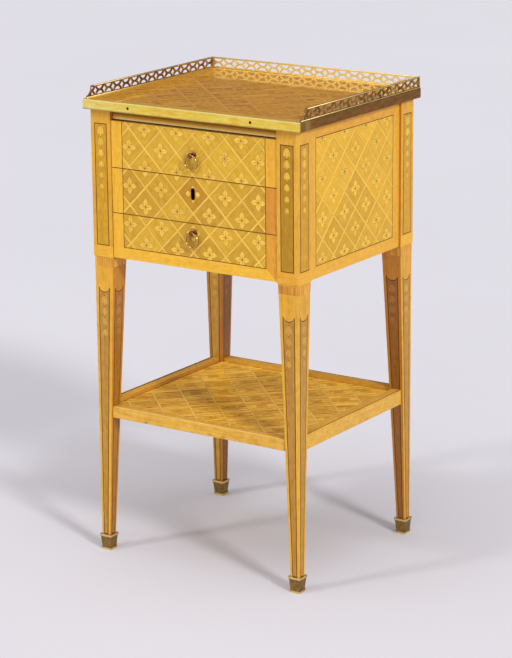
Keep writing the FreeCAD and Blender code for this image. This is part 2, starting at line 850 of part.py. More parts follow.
def make_lock():
    """The lock behind the middle front, its sliding bolt, its screws and the escutcheon."""
    low = f"({LOCK_HIGH} - lock_height)"
    blank = board("lock_case_blank", about("0", "lock_width"), LOCK_Y, (low, LOCK_HIGH))
    channel = board(
        "lock_channel",
        about("0", "bolt_width + 2 * bolt_fit"),
        about(BOLT_Y, "bolt_depth + 2 * bolt_fit"),
        (f"{LOCK_HIGH} - bolt_height", LOCK_HIGH),
    )
    key_slot = keyhole("lock_key_slot", "keyhole_width", "keyhole_height", LOCK_Y[0], "lock_key_depth")
    screws = []
    case_holes = []
    front_holes = []
    for side, sx in SIDES.items():
        x = f"{sx} * (lock_width / 2 - lock_screw_inset)"
        for level, z in (("low", f"{low} + lock_screw_inset"), ("high", f"{LOCK_HIGH} - lock_screw_inset")):
            name = f"lock_screw_{level}_{side}"
            tip = f"({FRONT_BACK_Y} - lock_screw_bite)"
            length = "(lock_screw_bite + lock_depth)"
            shank = rod(name + "_shank", "y", (x, tip, z), "lock_screw_shank", length)
            head = rod(name + "_head", "y", (x, LOCK_Y[1], z), "lock_screw_head", "lock_screw_head_height")
            screws.append(join(name, [shank, head]))
            hole = rod(name + "_hole", "y", (x, tip, z), "lock_screw_shank + 2 * joint_fit", length)
            case_holes.append(hole)
            front_holes.append(hole)
    node(group("lock_screws", screws), "lock_screws")
    node(carve("lock_case", blank, [channel, key_slot] + case_holes), "lock_case")
    bolt = board(
        "lock_bolt",
        about("0", "bolt_width"),
        about(BOLT_Y, "bolt_depth"),
        (f"{LOCK_HIGH} - bolt_height", LOCK_HIGH),
    )
    node(bolt, "lock_bolt")
    rim_width = "(keyhole_width + 2 * escutcheon_rim)"
    rim_height = "(keyhole_height + 2 * escutcheon_rim)"
    plate = keyhole("escutcheon_plate", rim_width, rim_height, FRONT_FACE_Y, "escutcheon_thickness")
    slot = keyhole("escutcheon_slot", "keyhole_width", "keyhole_height", FRONT_FACE_Y, "escutcheon_thickness")
    node(carve("keyhole_escutcheon", plate, [slot]), "keyhole_escutcheon")
    seat = keyhole("escutcheon_seat", rim_width, rim_height, FRONT_FACE_Y, "escutcheon_thickness")
    through = keyhole("front_key_slot", "keyhole_width", "keyhole_height", FRONT_FACE_Y, "front_thickness")
    return front_holes + [seat, through]


def make_drawers():
    upper_hole = make_pull("upper_pull", UPPER_PULL_Z)
    lower_hole = make_pull("lower_pull", LOWER_PULL_Z)
    lock_holes = make_lock()
    make_drawer("upper_drawer", (UPPER_LOW, UPPER_HIGH), UPPER_DIVIDER[1], BEARER[0], [upper_hole])
    make_drawer("middle_drawer", (MIDDLE_LOW, MIDDLE_HIGH), LOWER_DIVIDER[1], UPPER_DIVIDER[0], lock_holes)
    make_drawer("lower_drawer", (LOWER_LOW, LOWER_HIGH), BOTTOM[1], LOWER_DIVIDER[0], [lower_hole])


def make_shelf():
    """A frame of four rails tenoned into the legs, round a panel. The panel lies about level with the
    front rail, and the other three rails stand above it as a rim."""
    heights = {"front": ("shelf_height", SHELF_HIGH), "back": ("shelf_height", RIM_HIGH)}
    tenon_z = about("shelf_height + shelf_rail_height / 2", "tenon_height")
    end_x = f"({LEG_X} - {LEG_AT_SHELF} - joint_fit)"
    end_y = f"({LEG_Y} - {LEG_AT_SHELF} - joint_fit)"
    outer_x = f"({LEG_X} - shelf_recess)"
    outer_y = f"({LEG_Y} - shelf_recess)"
    inner_x = f"({outer_x} - shelf_rail_width)"
    inner_y = f"({outer_y} - shelf_rail_width)"
    tongue_x = f"({inner_x} + shelf_tongue_depth)"
    tongue_y = f"({inner_y} + shelf_tongue_depth)"
    for end, sy in ENDS.items():
        name = f"shelf_rail_{end}"
        rail = board(name + "_rail", both(end_x), flip(sy, inner_y, outer_y), heights[end])
        middle = f"{sy} * ({outer_y} - shelf_rail_width / 2)"
        tenon = board(
            name + "_tenon",
            both(f"({end_x} + tenon_length)"),
            about(middle, "tenon_thickness"),
            tenon_z,
        )
        groove = board(name + "_groove", both(end_x), flip(sy, inner_y, tongue_y), SHELF_TONGUE)
        node(carve(name, join(name + "_blank", [rail, tenon]), [groove]), name)
    for side, sx in SIDES.items():
        name = f"shelf_rail_{side}"
        rail = board(name + "_rail", flip(sx, inner_x, outer_x), both(end_y), heights["back"])
        middle = f"{sx} * ({outer_x} - shelf_rail_width / 2)"
        tenon = board(
            name + "_tenon",
            about(middle, "tenon_thickness"),
            both(f"({end_y} + tenon_length)"),
            tenon_z,
        )
        groove = board(name + "_groove", flip(sx, inner_x, tongue_x), both(end_y), SHELF_TONGUE)
        node(carve(name, join(name + "_blank", [rail, tenon]), [groove]), name)
    field = board(
        "shelf_panel_field",
        both(f"{inner_x} - joint_fit"),
        both(f"{inner_y} - joint_fit"),
        (SHELF_TONGUE_HIGH, SHELF_PANEL_HIGH),
    )
    tongue = board(
        "shelf_panel_tongue",
        both(f"{tongue_x} - joint_fit"),
        both(f"{tongue_y} - joint_fit"),
        SHELF_TONGUE,
    )
    corners = [
        board(
            f"shelf_panel_corner_{end}_{side}",
            flip(sx, end_x, outer_x),
            flip(sy, end_y, outer_y),
            (SHELF_TONGUE[0], SHELF_PANEL_HIGH),
        )
        for end, sy in ENDS.items()
        for side, sx in SIDES.items()
    ]
    node(carve("shelf_panel", join("shelf_panel_blank", [field, tongue]), corners), "shelf_panel")


make_legs()
make_sabots()
make_panels()
make_dividers()
make_guides()
make_top()
make_gallery()
make_slide()
make_drawers()
make_shelf()
doc.recompute()

failed = [part.Label for part in doc.Objects if {"Invalid", "Error"} & set(part.State)]
failed += [part.Label for part in nodes if part.Shape.isNull() or not part.Shape.isValid()]
if failed:
    raise RuntimeError("these pieces failed: " + ", ".join(failed))

os.makedirs("parts", exist_ok=True)
for part in nodes:
    part.Shape.exportStep(f"parts/{part.Label}.step")
print(f"{len(nodes)} pieces written")
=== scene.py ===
import random
from fnmatch import fnmatchcase
from math import atan2, ceil, copysign, cos, hypot, pi, radians, sin, tau

import bpy
from mathutils import Matrix, Vector
from mathutils.geometry import tessellate_polygon


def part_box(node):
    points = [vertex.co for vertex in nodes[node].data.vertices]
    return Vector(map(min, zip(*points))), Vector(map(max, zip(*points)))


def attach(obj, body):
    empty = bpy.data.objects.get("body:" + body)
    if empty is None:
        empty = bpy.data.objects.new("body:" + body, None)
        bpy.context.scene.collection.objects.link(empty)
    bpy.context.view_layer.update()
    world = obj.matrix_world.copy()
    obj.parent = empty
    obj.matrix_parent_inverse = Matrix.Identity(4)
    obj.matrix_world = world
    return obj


# The looks of a small marquetry writing table: polished honey-coloured veneers with a trellis of inlaid
# flowers, husks on the posts and legs, brass on the edges and feet. Metres, in the frame of the part.

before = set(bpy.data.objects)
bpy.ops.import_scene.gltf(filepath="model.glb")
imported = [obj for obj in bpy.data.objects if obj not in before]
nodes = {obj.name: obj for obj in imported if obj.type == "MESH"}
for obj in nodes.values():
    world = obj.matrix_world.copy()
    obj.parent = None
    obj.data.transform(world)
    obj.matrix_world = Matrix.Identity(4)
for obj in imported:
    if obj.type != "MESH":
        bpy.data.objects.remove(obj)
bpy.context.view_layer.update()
MM = 0.001
chance = random.Random(1780)

# Inlay: how far its pieces lie in the wood and stand out of it
SINK = 0.3 * MM
LINE_RISE = 0.05 * MM
PIECE_RISE = 0.13 * MM
CROSSING_RISE = 0.16 * MM
SHADE_RISE = 0.19 * MM
FLOWER_RISE = 0.24 * MM
LEAF_RISE = 0.27 * MM
DOT_RISE = 0.32 * MM

# Trellis and flowers
STRIP_WIDTH = 3.3 * MM
HAIRLINE = 0.22 * MM
FIELD_LINE = 1.1 * MM
OUTLINE = 0.25 * MM
PETAL_FROM = 1.1 * MM
PETAL_LENGTH = 12.0 * MM
PETAL_WIDTH = 8.8 * MM
VEIN_LENGTH = 6.5 * MM
VEIN_WIDTH = 0.5 * MM
FLOWER_EYE = 0.9 * MM
FLOWER_DOT = 0.5 * MM
FLOWER_DOT_AT = 5.4 * MM
KEYHOLE_GAP_ASIDE = 1.0 * MM
KEYHOLE_GAP_ABOVE = 0.5 * MM
SMALL_DISC_SIDES = 8

# Panels: the period of the trellis across and up, and the borders round its field
FRONT_PERIOD = (58.2 * MM, 59.2 * MM)
FRONT_BORDER = 19.4 * MM
FRONT_FOOT_BORDER = 17.3 * MM
SIDE_PERIOD = (61.0 * MM, 60.4 * MM)
SIDE_BORDER = 18.0 * MM
BACK_PERIOD = (59.6 * MM, 60.4 * MM)
TOP_PERIOD = (60.4 * MM, 60.4 * MM)
TOP_BORDER = 17.0 * MM
SHELF_PERIOD = (62.4 * MM, 62.4 * MM)
BOTH_WAYS = (pi / 4, -pi / 4)
ONE_WAY = (pi / 4,)

# Tones: 0 is the darkest usual piece of a wood and 1 the palest; lines run from dark to scorched
# The upper drawer's range runs paler, as painted light against the shade that the top casts on it.
FRONT_TONES = {"upper": (0.6, 1.15), "middle": (-0.1, 0.9), "lower": (0.0, 1.0)}
RIGHT_BORDER_TONES = {"upper": 0.5, "middle": -0.9, "lower": -0.3}
LEFT_BORDER_TONE = 0.9
FOOT_BORDER_TONE = 1.0
DARK = 0.0
FAINT = 0.7
SCORCHED = 0.85
# How far lozenges grow paler across a panel: up the sides, and towards the back of the shelf as painted
# light.
SIDE_TONE_GRADIENT = 0.6
SHELF_PAINTED_GRADIENT = 0.3
SIDE_STAIN = Vector((5 * MM, 560 * MM))
STAIN_REACH = 70 * MM
POST_TONES = (0.65, 0.9)
DUSKY_POST = 0.1
LEG_TONES = (0.6, 1.0)
LEG_HUSK_TONES = (0.5, 1.0)
# Set tones for the inner faces of the legs and their husks, as painted light and shade: low where the case
# shades them, and high on the left legs' faces that look along the table, as painted light.
INNER_SIDE_TONES = {-1: -0.1, 1: -0.4}
INNER_FACE_TONES = {-1: 1.6, 1: -0.7}
INNER_HUSK_TONES = (-0.25, -0.05)
COLLAR_TONES = (0.3, 0.8)
FADED_COLLAR = 1.8

# Posts and legs
LEG_STEP = 1.0 * MM
LEG_FOOT = 15.5 * MM
POST_PANEL_MARGIN = 6.7 * MM
POST_PANEL_TOP_MARGIN = 21.0 * MM
POST_PANEL_FOOT_MARGIN = 18.3 * MM
POST_BAND_GAP = 1.0 * MM
POST_HUSKS = 6
LEG_HUSKS = 4
POST_HUSK_DROP = 3.6 * MM
LEG_HUSK_DROP = 4.6 * MM
HUSK_PITCH = 17.7 * MM
HUSK_LENGTH = 16.8 * MM
HUSK_SIDE_SHARE = 0.9
HUSK_LEAF = 5.8 * MM
HUSK_FULLEST = 1.05
HUSK_KNOT = 0.8 * MM
HUSK_SPREAD = radians(20)
HUSK_SHRINK = 0.08
COLLAR_DROP = 2.6 * MM
COLLAR_HEIGHT = 12.6 * MM
LEG_PANEL_DROP = 49.0 * MM
LEG_PANEL_MARGIN = 5.8 * MM
LEG_PANEL_FOOT_MARGIN = 3.6 * MM
SCALLOP_DIP = 6.5 * MM
SCALLOP_SHOULDER = 1.6 * MM
LEAST_SHOULDER = 0.3 * MM
SCALLOP_SIDES = 16
PANEL_LINE = 1.25 * MM

# The rails of the shelf: lines along the rim with their width and tone; along the front a painted glint, a
# slit painted as shade, and wear
RAIL_EDGE = 0.7 * MM
RAIL_TENON = 7.6 * MM
RAIL_PALE = 3.2 * MM
RAIL_SLIT = 1.2 * MM
# Each rail has a dark string along its outer edge; the left one is widened to paint the shade that falls on
# that rail.
RAIL_LINES = {"left": (4.0 * MM, 0.8), "back": (1.6 * MM, 1.0), "right": (1.6 * MM, 1.0)}
RAIL_NICKS = 9
NICK_SPAN = (-0.7, 0.3)
NICK_HEIGHTS = (1.2, 4.5)
NICK_SLANTS = (-0.15, 0.15)
NICK_LENGTHS = (3, 10)
NICK_WIDTH = 0.8 * MM

# Beads of the gallery, and the margin and width of the gilt lines on the leather
BEAD = 0.55 * MM
BEAD_SEAT = 1.3 * BEAD
BEAD_SIDES = 6
TOOLING = ((6 * MM, 1.4 * MM), (10 * MM, 0.5 * MM))


def srgb(red, green, blue):
    """A colour given as in a picture, 0 to 255, as the linear values that a shader takes."""

    def linear(part):
        part /= 255
        return part / 12.92 if part <= 0.04045 else ((part + 0.055) / 1.055) ** 2.4

    return (linear(red), linear(green), linear(blue), 1.0)


class Nodes:
    """A tree of nodes and short ways to add to it. Colours are given as in a picture."""

    def __init__(self, tree):
        self.tree = tree

    def join(self, value, socket):
        """Give a socket a plain value or another node's output."""
        if isinstance(value, bpy.types.NodeSocket):
            self.tree.links.new(value, socket)
        else:
            socket.default_value = value

    def add(self, kind, inputs=None, **settings):
        """A new node, with a value for each socket that inputs names or numbers."""
        made = self.tree.nodes.new(kind)
        for key, setting in settings.items():
            setattr(made, key, setting)
        for key, value in (inputs or {}).items():
            self.join(value, made.inputs[key])
        return made

    def axis(self, place, letter):
        """One of the three numbers of a place."""
        return self.add("ShaderNodeSeparateXYZ", {0: place}).outputs[letter]

    def scaled(self, vector, scale):
        return self.add("ShaderNodeMapping", {"Vector": vector, "Scale": scale}).outputs["Vector"]

    def noise(self, vector, scale, detail=3.0, roughness=0.55, distortion=0.0):
        inputs = {"Vector": vector, "Scale": scale, "Detail": detail}
        inputs.update(Roughness=roughness, Distortion=distortion)
        return self.add("ShaderNodeTexNoise", inputs).outputs["Fac"]

    def math(self, operation, first, second):
        return self.add("ShaderNodeMath", {0: first, 1: second}, operation=operation).outputs[0]

    def weighed(self, parts, shares):
        """The sum of some numbers, each times its share."""
        total = 0.0
        for part, share in zip(parts, shares):
            total = self.math("ADD", total, self.math("MULTIPLY", part, share))
        return total

    def ragged(self, place, letter, pattern, depth):
        """A place along one axis, moved by a pattern, so that a limit there comes out uneven."""
        return self.math("ADD", self.axis(place, letter), self.math("MULTIPLY", pattern, depth))

    def ranged(self, value, low, high, to_low, to_high, clamp=True):
        inputs = dict(enumerate((value, low, high, to_low, to_high)))
        return self.add("ShaderNodeMapRange", inputs, clamp=clamp).outputs[0]

    def ramp(self, factor, colours, spread, centre=0.5):
        """From the first colour to the last, evenly over a spread on both sides of a centre."""
        made = self.add("ShaderNodeValToRGB", {0: factor})
        steps = made.color_ramp.elements
        while len(steps) < len(colours):
            steps.new(0.5)
        for index, colour in enumerate(colours):
            steps[index].position = centre + spread * (2 * index / (len(colours) - 1) - 1)
            steps[index].color = srgb(*colour)
        return made.outputs[0]

    def mixed(self, factor, first, second, blend="MIX"):
        first, second = (srgb(*part) if isinstance(part, tuple) else part for part in (first, second))
        inputs = {0: factor, 6: first, 7: second}
        return self.add("ShaderNodeMix", inputs, data_type="RGBA", blend_type=blend).outputs[2]

    def toned(self, colour, value, hue=0.5):
        return self.add("ShaderNodeHueSaturation", {"Color": colour, "Value": value, "Hue": hue}).outputs[0]


class Shader(Nodes):
    """One material, and what it can read of a piece."""

    def __init__(self, name):
        self.material = bpy.data.materials.new(name)
        self.material.use_nodes = True
        super().__init__(self.material.node_tree)
        self.bsdf = self.tree.nodes["Principled BSDF"]

    def surface(self, **values):
        for key, value in values.items():
            self.join(value, self.bsdf.inputs[key.replace("_", " ").title().replace("Ior", "IOR")])

    def place(self):
        return self.add("ShaderNodeTexCoord").outputs["Object"]

    def laid(self):
        """Where a point lies on its own piece of veneer: along the grain, then across it."""
        return self.add("ShaderNodeUVMap", uv_map="grain").outputs["UV"]

    def tone(self):
        return self.add("ShaderNodeAttribute", attribute_name="tone").outputs["Fac"]

    def bump(self, height, strength, distance):
        made = self.add("ShaderNodeBump", {"Strength": strength, "Distance": distance, "Height": height})
        self.join(made.outputs["Normal"], self.bsdf.inputs["Normal"])


# Wood: how long a streak of grain is beside its width, and how much fibres, streaks and ripples count
GRAIN_RATIO = 0.045
PORE_RATIO = 0.08
FIBRES_PER_METRE = 1500
PORES_PER_METRE = 900
STREAKS_PER_METRE = 230
RIPPLES_PER_METRE = 95
CLOUDS_PER_METRE = 9
QUIET = (0.52, 0.28, 0.2)
STREAKY = (0.25, 0.66, 0.09)
FIBRE_RANGE = (0.25, 0.75)
FIBRE_BUMP = (0.12, 0.15 * MM)
PORE_BUMP = (0.2, 0.2 * MM)
SATIN = (0.32, 0.46)
EVEN_HUES = (0.498, 0.502)
OLIVE_HUES = (0.495, 0.503)
MIXED_HUES = (0.49, 0.503)

# How much polish lies on a wood, and how rough that is
GLOSS = (0.12, 0.14)
SHELF_GLOSS = (0.4, 0.08)
TOP_GLOSS = (1.0, 0.035)


def along(axis, ratio):
    """Scales that draw a pattern out along one axis of the part."""
    return tuple(ratio if letter == axis else 1.0 for letter in "xyz")


def wood_pattern(shader, vector, stretch, shares=QUIET):
    """Fine fibres, wider streaks and a faint ripple across them, as one number about a half."""
    drawn = shader.scaled(vector, stretch)
    fibres = shader.noise(drawn, FIBRES_PER_METRE, 2.0)
    streaks = shader.noise(drawn, STREAKS_PER_METRE, 4.0, 0.6, 0.3)
    ripple = shader.noise(vector, RIPPLES_PER_METRE, 1.0)
    return shader.weighed((fibres, streaks, ripple), shares), fibres


def looks_inwards(shader):
    """One on the faces that look towards the middle of the table, and nought on the others."""
    place = shader.add("ShaderNodeTexCoord")
    level = shader.scaled(place.outputs["Object"], (1.0, 1.0, 0.0))
    inputs = {0: place.outputs["Normal"], 1: level}
    turned = shader.add("ShaderNodeVectorMath", inputs, operation="DOT_PRODUCT").outputs["Value"]
    return shader.ranged(turned, -50 * MM, 50 * MM, 1.0, 0.0)


def polished(
    name, colours, axis=None, tones=(0.94, 1.06), hues=EVEN_HUES, rough=None, shares=QUIET, gloss=GLOSS,
    spread=0.16, inside=None
):
    """A polished veneer in its dark, middle and light colour, with its grain along an axis of the part,
    or along each piece of inlay where no axis is given. A piece of a darker tone is also redder. Painted
    shade can darken the faces that look inwards, under the case."""
    shader = Shader(name)
    if axis:
        pattern, fibres = wood_pattern(shader, shader.place(), along(axis, GRAIN_RATIO), shares)
        tone = shader.ranged(shader.noise(shader.place(), CLOUDS_PER_METRE, 2.0), 0.3, 0.7, 0.0, 1.0)
        shader.bump(fibres, *FIBRE_BUMP)
    else:
        pattern, fibres = wood_pattern(shader, shader.laid(), along("x", GRAIN_RATIO), shares)
        tone = shader.tone()
    value = shader.ranged(tone, 0.0, 1.0, *tones, clamp=False)
    hue = shader.ranged(tone, 0.0, 1.0, *hues, clamp=False)
    colour = shader.toned(shader.ramp(pattern, colours, spread), value, hue)
    if inside:
        colour = shader.mixed(looks_inwards(shader), colour, inside, "MULTIPLY")
    shader.surface(base_color=colour, specular_ior_level=0.25)
    shader.surface(coat_weight=gloss[0], coat_roughness=gloss[1])
    shader.surface(roughness=shader.ranged(fibres, *FIBRE_RANGE, *rough) if rough else 0.4)
    return shader.material


def slide_veneer(name, colours):
    """The front of the slide: a painted shadow of the top over its upper part, and a painted glint along its
    lower edge.
    """
    shader = Shader(name)
    place = shader.place()
    pattern, fibres = wood_pattern(shader, place, along("x", GRAIN_RATIO))
    colour = shader.ramp(pattern, colours, 0.16)
    height = shader.ragged(place, "Z", fibres, MM)
    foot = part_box("slide_front")[0].z
    # Painted light: darker under the top as its painted shadow, and pale along the lower edge as a painted
    # glint.
    painted_shade = shader.ranged(height, foot + 3.5 * MM, foot + 9.5 * MM, 0.0, 0.85)
    painted_glint = shader.ranged(height, foot + 0.5 * MM, foot + 5.0 * MM, 0.9, 0.0)
    colour = shader.mixed(painted_glint, shader.mixed(painted_shade, colour, (104, 48, 0)), (255, 238, 158))
    shader.surface(base_color=colour, specular_ior_level=0.1)
    shader.surface(roughness=shader.ranged(fibres, *FIBRE_RANGE, *SATIN))
    shader.bump(fibres, *FIBRE_BUMP)
    return shader.material


def line_veneer(name, dark, shade, gloss=GLOSS):
    """Stained lines and the scorched edges of the leaves: the tone of a piece says which it is."""
    shader = Shader(name)
    pattern, _ = wood_pattern(shader, shader.laid(), along("x", GRAIN_RATIO))
    colour = shader.mixed(shader.tone(), dark, shade)
    colour = shader.toned(colour, shader.ranged(pattern, 0.34, 0.66, 0.8, 1.2))
    shader.surface(base_color=colour, roughness=0.5, specular_ior_level=0.12)
    shader.surface(coat_weight=gloss[0] / 2, coat_roughness=gloss[1])
    return shader.material


def near_hole(shader, place, node):
    """One at the piece that lines a hole, and nought beside it."""
    low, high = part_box(node)
    near = []
    for letter, least, most in (("X", low.x, high.x), ("Z", low.z, high.z)):
        half = (most - least) / 2
        offset = shader.math("SUBTRACT", shader.axis(place, letter), (least + most) / 2)
        away = shader.math("ABSOLUTE", offset, 0.0)
        near.append(shader.ranged(away, half - MM, half, 1.0, 0.0))
    return shader.math("MULTIPLY", *near)


def plain_wood(name, colours, axis, hole=None):
    """Unpolished wood for the insides, with open pores along its grain, and painted black shade inside a
    hole.
    """
    shader = Shader(name)
    place = shader.place()
    pattern, fibres = wood_pattern(shader, place, along(axis, GRAIN_RATIO))
    pores = shader.noise(shader.scaled(place, along(axis, PORE_RATIO)), PORES_PER_METRE, 1.0)
    marks = shader.ranged(pores, 0.62, 0.72, 0.0, 0.45)
    colour = shader.mixed(marks, shader.ramp(pattern, colours, 0.14), (84, 56, 28))
    if hole:
        # Painted shade: the wood inside the hole is black.
        colour = shader.mixed(near_hole(shader, place, hole), colour, (22, 14, 8))
    shader.surface(base_color=colour, roughness=shader.ranged(fibres, *FIBRE_RANGE, 0.5, 0.68))
    shader.bump(pores, *PORE_BUMP)
    return shader.material


# Metal: the usual range of its patches, and the depth of its scratches
PATCH_RANGE = (0.3, 0.7)
SCRATCHES_PER_METRE = 1900
SCRATCH_BUMP = (0.05, 0.1 * MM)


def metal(shader, colour, patches, rough, metallic=1.0, bump=SCRATCH_BUMP):
    """Finish a metal of a colour, whose roughness and relief follow its patches."""
    shader.surface(base_color=colour, metallic=metallic)
    shader.surface(roughness=shader.ranged(patches, *PATCH_RANGE, *rough))
    shader.bump(patches, *bump)
    return shader.material


def brass(name, bright, dull, rough, spots):
    """Brass that has gone duller in patches, with fine scratches."""
    shader = Shader(name)
    place = shader.place()
    patches = shader.noise(place, spots, 4.0, 0.6, 0.4)
    scratches = shader.noise(shader.scaled(place, (0.12, 0.12, 1.0)), SCRATCHES_PER_METRE, 2.0)
    scuffed = shader.weighed((patches, scratches), (0.6, 0.4))
    shader.surface(base_color=shader.ramp(patches, (dull, bright), 0.17), metallic=1.0)
    shader.surface(roughness=shader.ranged(scuffed, *PATCH_RANGE, *rough[::-1]))
    shader.bump(scratches, *SCRATCH_BUMP)
    return shader.material


def painted_shade_brass(name, bright, dull):
    """The brass on the sides of the top: painted dark as shade, with a painted glint near its front corners.
    """
    shader = Shader(name)
    place = shader.place()
    patches = shader.noise(shader.scaled(place, along("y", 0.3)), 200.0, 4.0, 0.6, 0.2)
    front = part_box("edge_band_right")[0].y
    depth = shader.ragged(place, "Y", patches, 4 * MM)
    # A painted glint near the front end of each side band.
    painted_glint = shader.ranged(depth, front + 10 * MM, front + 18 * MM, 0.5, 0.0)
    colour = shader.mixed(painted_glint, shader.ramp(patches, (dull, bright), 0.2), (196, 158, 86))
    return metal(shader, colour, patches, (0.42, 0.3))


def front_brass(name, bright, dull):
    """The bright front edge of the top, with light painted in: a painted highlight along its upper edge and
    a painted sheen at its left end, and painted shade along its lower edge and on the ends that turn back."""
    shader = Shader(name)
    place = shader.place()
    patches = shader.noise(shader.scaled(place, along("x", 0.2)), 240.0, 4.0, 0.6, 0.2)
    height = shader.ragged(place, "Z", patches, MM)
    low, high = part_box("edge_band_front")
    # Painted shade along the lower edge and on the returns, a painted highlight along the upper edge, and a
    # painted sheen at the left end.
    painted_shade = shader.ranged(height, low.z + 1.3 * MM, low.z + 3.0 * MM, 0.6, 0.0)
    painted_highlight = shader.ranged(height, high.z - 1.6 * MM, high.z - 0.4 * MM, 0.0, 1.0)
    paler = shader.ranged(shader.axis(place, "X"), low.x, low.x + 110 * MM, 0.75, 0.0)
    behind = shader.ranged(shader.axis(place, "Y"), low.y + 3.0 * MM, low.y + 4.5 * MM, 0.0, 0.9)
    colour = shader.ramp(patches, (dull, bright), 0.2)
    colour = shader.mixed(shader.math("MULTIPLY", paler, patches), colour, (255, 250, 178))
    colour = shader.mixed(painted_highlight, shader.mixed(painted_shade, colour, (120, 82, 34)), (255, 248, 158))
    colour = shader.mixed(behind, colour, (122, 87, 40))
    return metal(shader, colour, patches, (0.47, 0.34))


def ring_brass(name, bright, dull):
    """Brass rings: a painted highlight on the front half of the wire and painted shade on the back half."""
    shader = Shader(name)
    place = shader.place()
    patches = shader.noise(place, 260.0, 3.0, 0.6, 0.2)
    depth = shader.ragged(place, "Y", patches, 0.6 * MM)
    low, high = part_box("upper_pull_ring")
    middle = (low.y + high.y) / 2
    # The front half of the wire is painted bright as a highlight, and the back half dark as shade.
    painted_highlight = shader.ranged(depth, middle - 0.7 * MM, middle + 0.3 * MM, 1.0, 0.0)
    return metal(shader, shader.mixed(painted_highlight, dull, bright), patches, (0.34, 0.22))


def cup_brass(name, rim, bright, dull):
    """The brass of the feet: dull cups, paler on their lips and near the floor."""
    shader = Shader(name)
    place = shader.place()
    patches = shader.noise(place, 150.0, 4.0, 0.6, 0.4)
    height = shader.ragged(place, "Z", patches, 1.5 * MM)
    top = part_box("sabot_front_right")[1].z
    lip = shader.ranged(height, top - 3.4 * MM, top - 2.0 * MM, 0.0, 0.85)
    plinth = shader.ranged(height, 3.2 * MM, 4.4 * MM, 0.85, 0.0)
    colour = shader.ramp(patches, (dull, bright), 0.17)
    colour = shader.mixed(shader.math("ADD", lip, plinth), colour, rim)
    return metal(shader, colour, patches, (0.46, 0.32), bump=(0.06, 0.1 * MM))


def iron(name, clean, rusty):
    shader = Shader(name)
    rust = shader.noise(shader.place(), 130, 5.0, 0.65)
    colour = shader.ramp(rust, (clean, rusty), 0.12, 0.54)
    return metal(shader, colour, rust, (0.38, 0.62), 0.85, (0.15, 0.2 * MM))


def leather(name, dark, light):
    shader = Shader(name)
    place = shader.place()
    inputs = {"Vector": place, "Scale": 900}
    grain = shader.add("ShaderNodeTexVoronoi", inputs, feature="DISTANCE_TO_EDGE").outputs["Distance"]
    clouds = shader.noise(place, 24, 4.0)
    shader.surface(base_color=shader.ramp(clouds, (dark, light), 0.2))
    shader.surface(roughness=shader.ranged(clouds, *PATCH_RANGE, 0.42, 0.6))
    shader.bump(grain, 0.35, 0.4 * MM)
    return shader.material


# Veneers: the dark, middle and light colour of each, and what else sets it apart
# Painted shade on the legs' faces that look inwards, under the case.
INWARD_PAINTED_SHADE = (220, 200, 208)
VENEERS = {
    "leg": ((198, 136, 30), (221, 163, 46), (232, 180, 64), dict(axis="z", rough=SATIN, inside=INWARD_PAINTED_SHADE)),
    # The rim's inner veneer is paler, as painted light.
    "rim": ((188, 128, 44), (208, 148, 58), (222, 164, 74), {}),
    # A painted glint for the front edge of the shelf's rail.
    "painted_glint": ((250, 206, 110), (255, 222, 134), (255, 234, 156), {}),
    "border": ((208, 148, 32), (230, 172, 46), (240, 190, 66), dict(hues=MIXED_HUES, rough=SATIN)),
    "strip": ((218, 164, 50), (234, 186, 70), (244, 202, 92), {}),
    "petal": ((216, 162, 48), (236, 188, 70), (246, 206, 96), dict(tones=(0.93, 1.05))),
    "olive": (
        (186, 138, 26), (208, 160, 40), (224, 180, 60), dict(tones=(0.87, 1.1), hues=OLIVE_HUES, rough=SATIN)
    ),
    "side_olive": ((208, 152, 24), (229, 175, 38), (244, 194, 58), dict(tones=(0.76, 1.06), rough=SATIN)),
    "side_strip": ((222, 168, 42), (238, 189, 60), (247, 205, 80), {}),
    "keyhole": ((166, 112, 14), (187, 134, 28), (202, 150, 42), dict(tones=(0.95, 1.05))),
    "moss": ((172, 120, 14), (198, 145, 22), (216, 166, 38), dict(tones=(0.74, 1.16), rough=SATIN)),
    "husk": ((208, 158, 46), (230, 182, 64), (242, 198, 84), dict(tones=(0.93, 1.06))),
    "leg_ground": (
        (156, 106, 34), (182, 132, 48), (200, 152, 66), dict(tones=(0.8, 1.06), hues=MIXED_HUES, rough=SATIN)
    ),
    "leg_husk": ((182, 130, 48), (204, 153, 64), (218, 169, 80), dict(tones=(0.82, 1.06), hues=MIXED_HUES)),
    "russet": (
        (172, 108, 28), (199, 135, 44), (222, 160, 60), dict(tones=(0.9, 1.08), shares=STREAKY, spread=0.12)
    ),
    "shelf_ground": (
        (140, 84, 14), (228, 168, 48), (255, 214, 92),
        dict(tones=(0.97, 1.34), shares=STREAKY, gloss=SHELF_GLOSS, spread=0.12),
    ),
    "shelf_strip": ((226, 168, 56), (248, 200, 84), (255, 216, 108), dict(gloss=SHELF_GLOSS)),
    "shelf_petal": ((204, 146, 38), (226, 168, 52), (240, 190, 74), dict(gloss=SHELF_GLOSS)),
    "top_ground": (
        (146, 78, 2), (232, 152, 12), (255, 196, 40),
        dict(tones=(0.92, 1.08), shares=STREAKY, gloss=TOP_GLOSS, spread=0.1),
    ),
    "top_strip": ((210, 140, 28), (236, 170, 42), (250, 192, 62), dict(gloss=TOP_GLOSS)),
    "top_border": ((210, 140, 28), (236, 170, 42), (250, 192, 62), dict(gloss=TOP_GLOSS)),
}
RAIL = ((190, 134, 38), (219, 166, 60), (236, 188, 84))
SLIDE = ((220, 152, 44), (238, 176, 60), (248, 194, 80))
OAK = ((150, 108, 58), (186, 142, 84), (206, 166, 106))

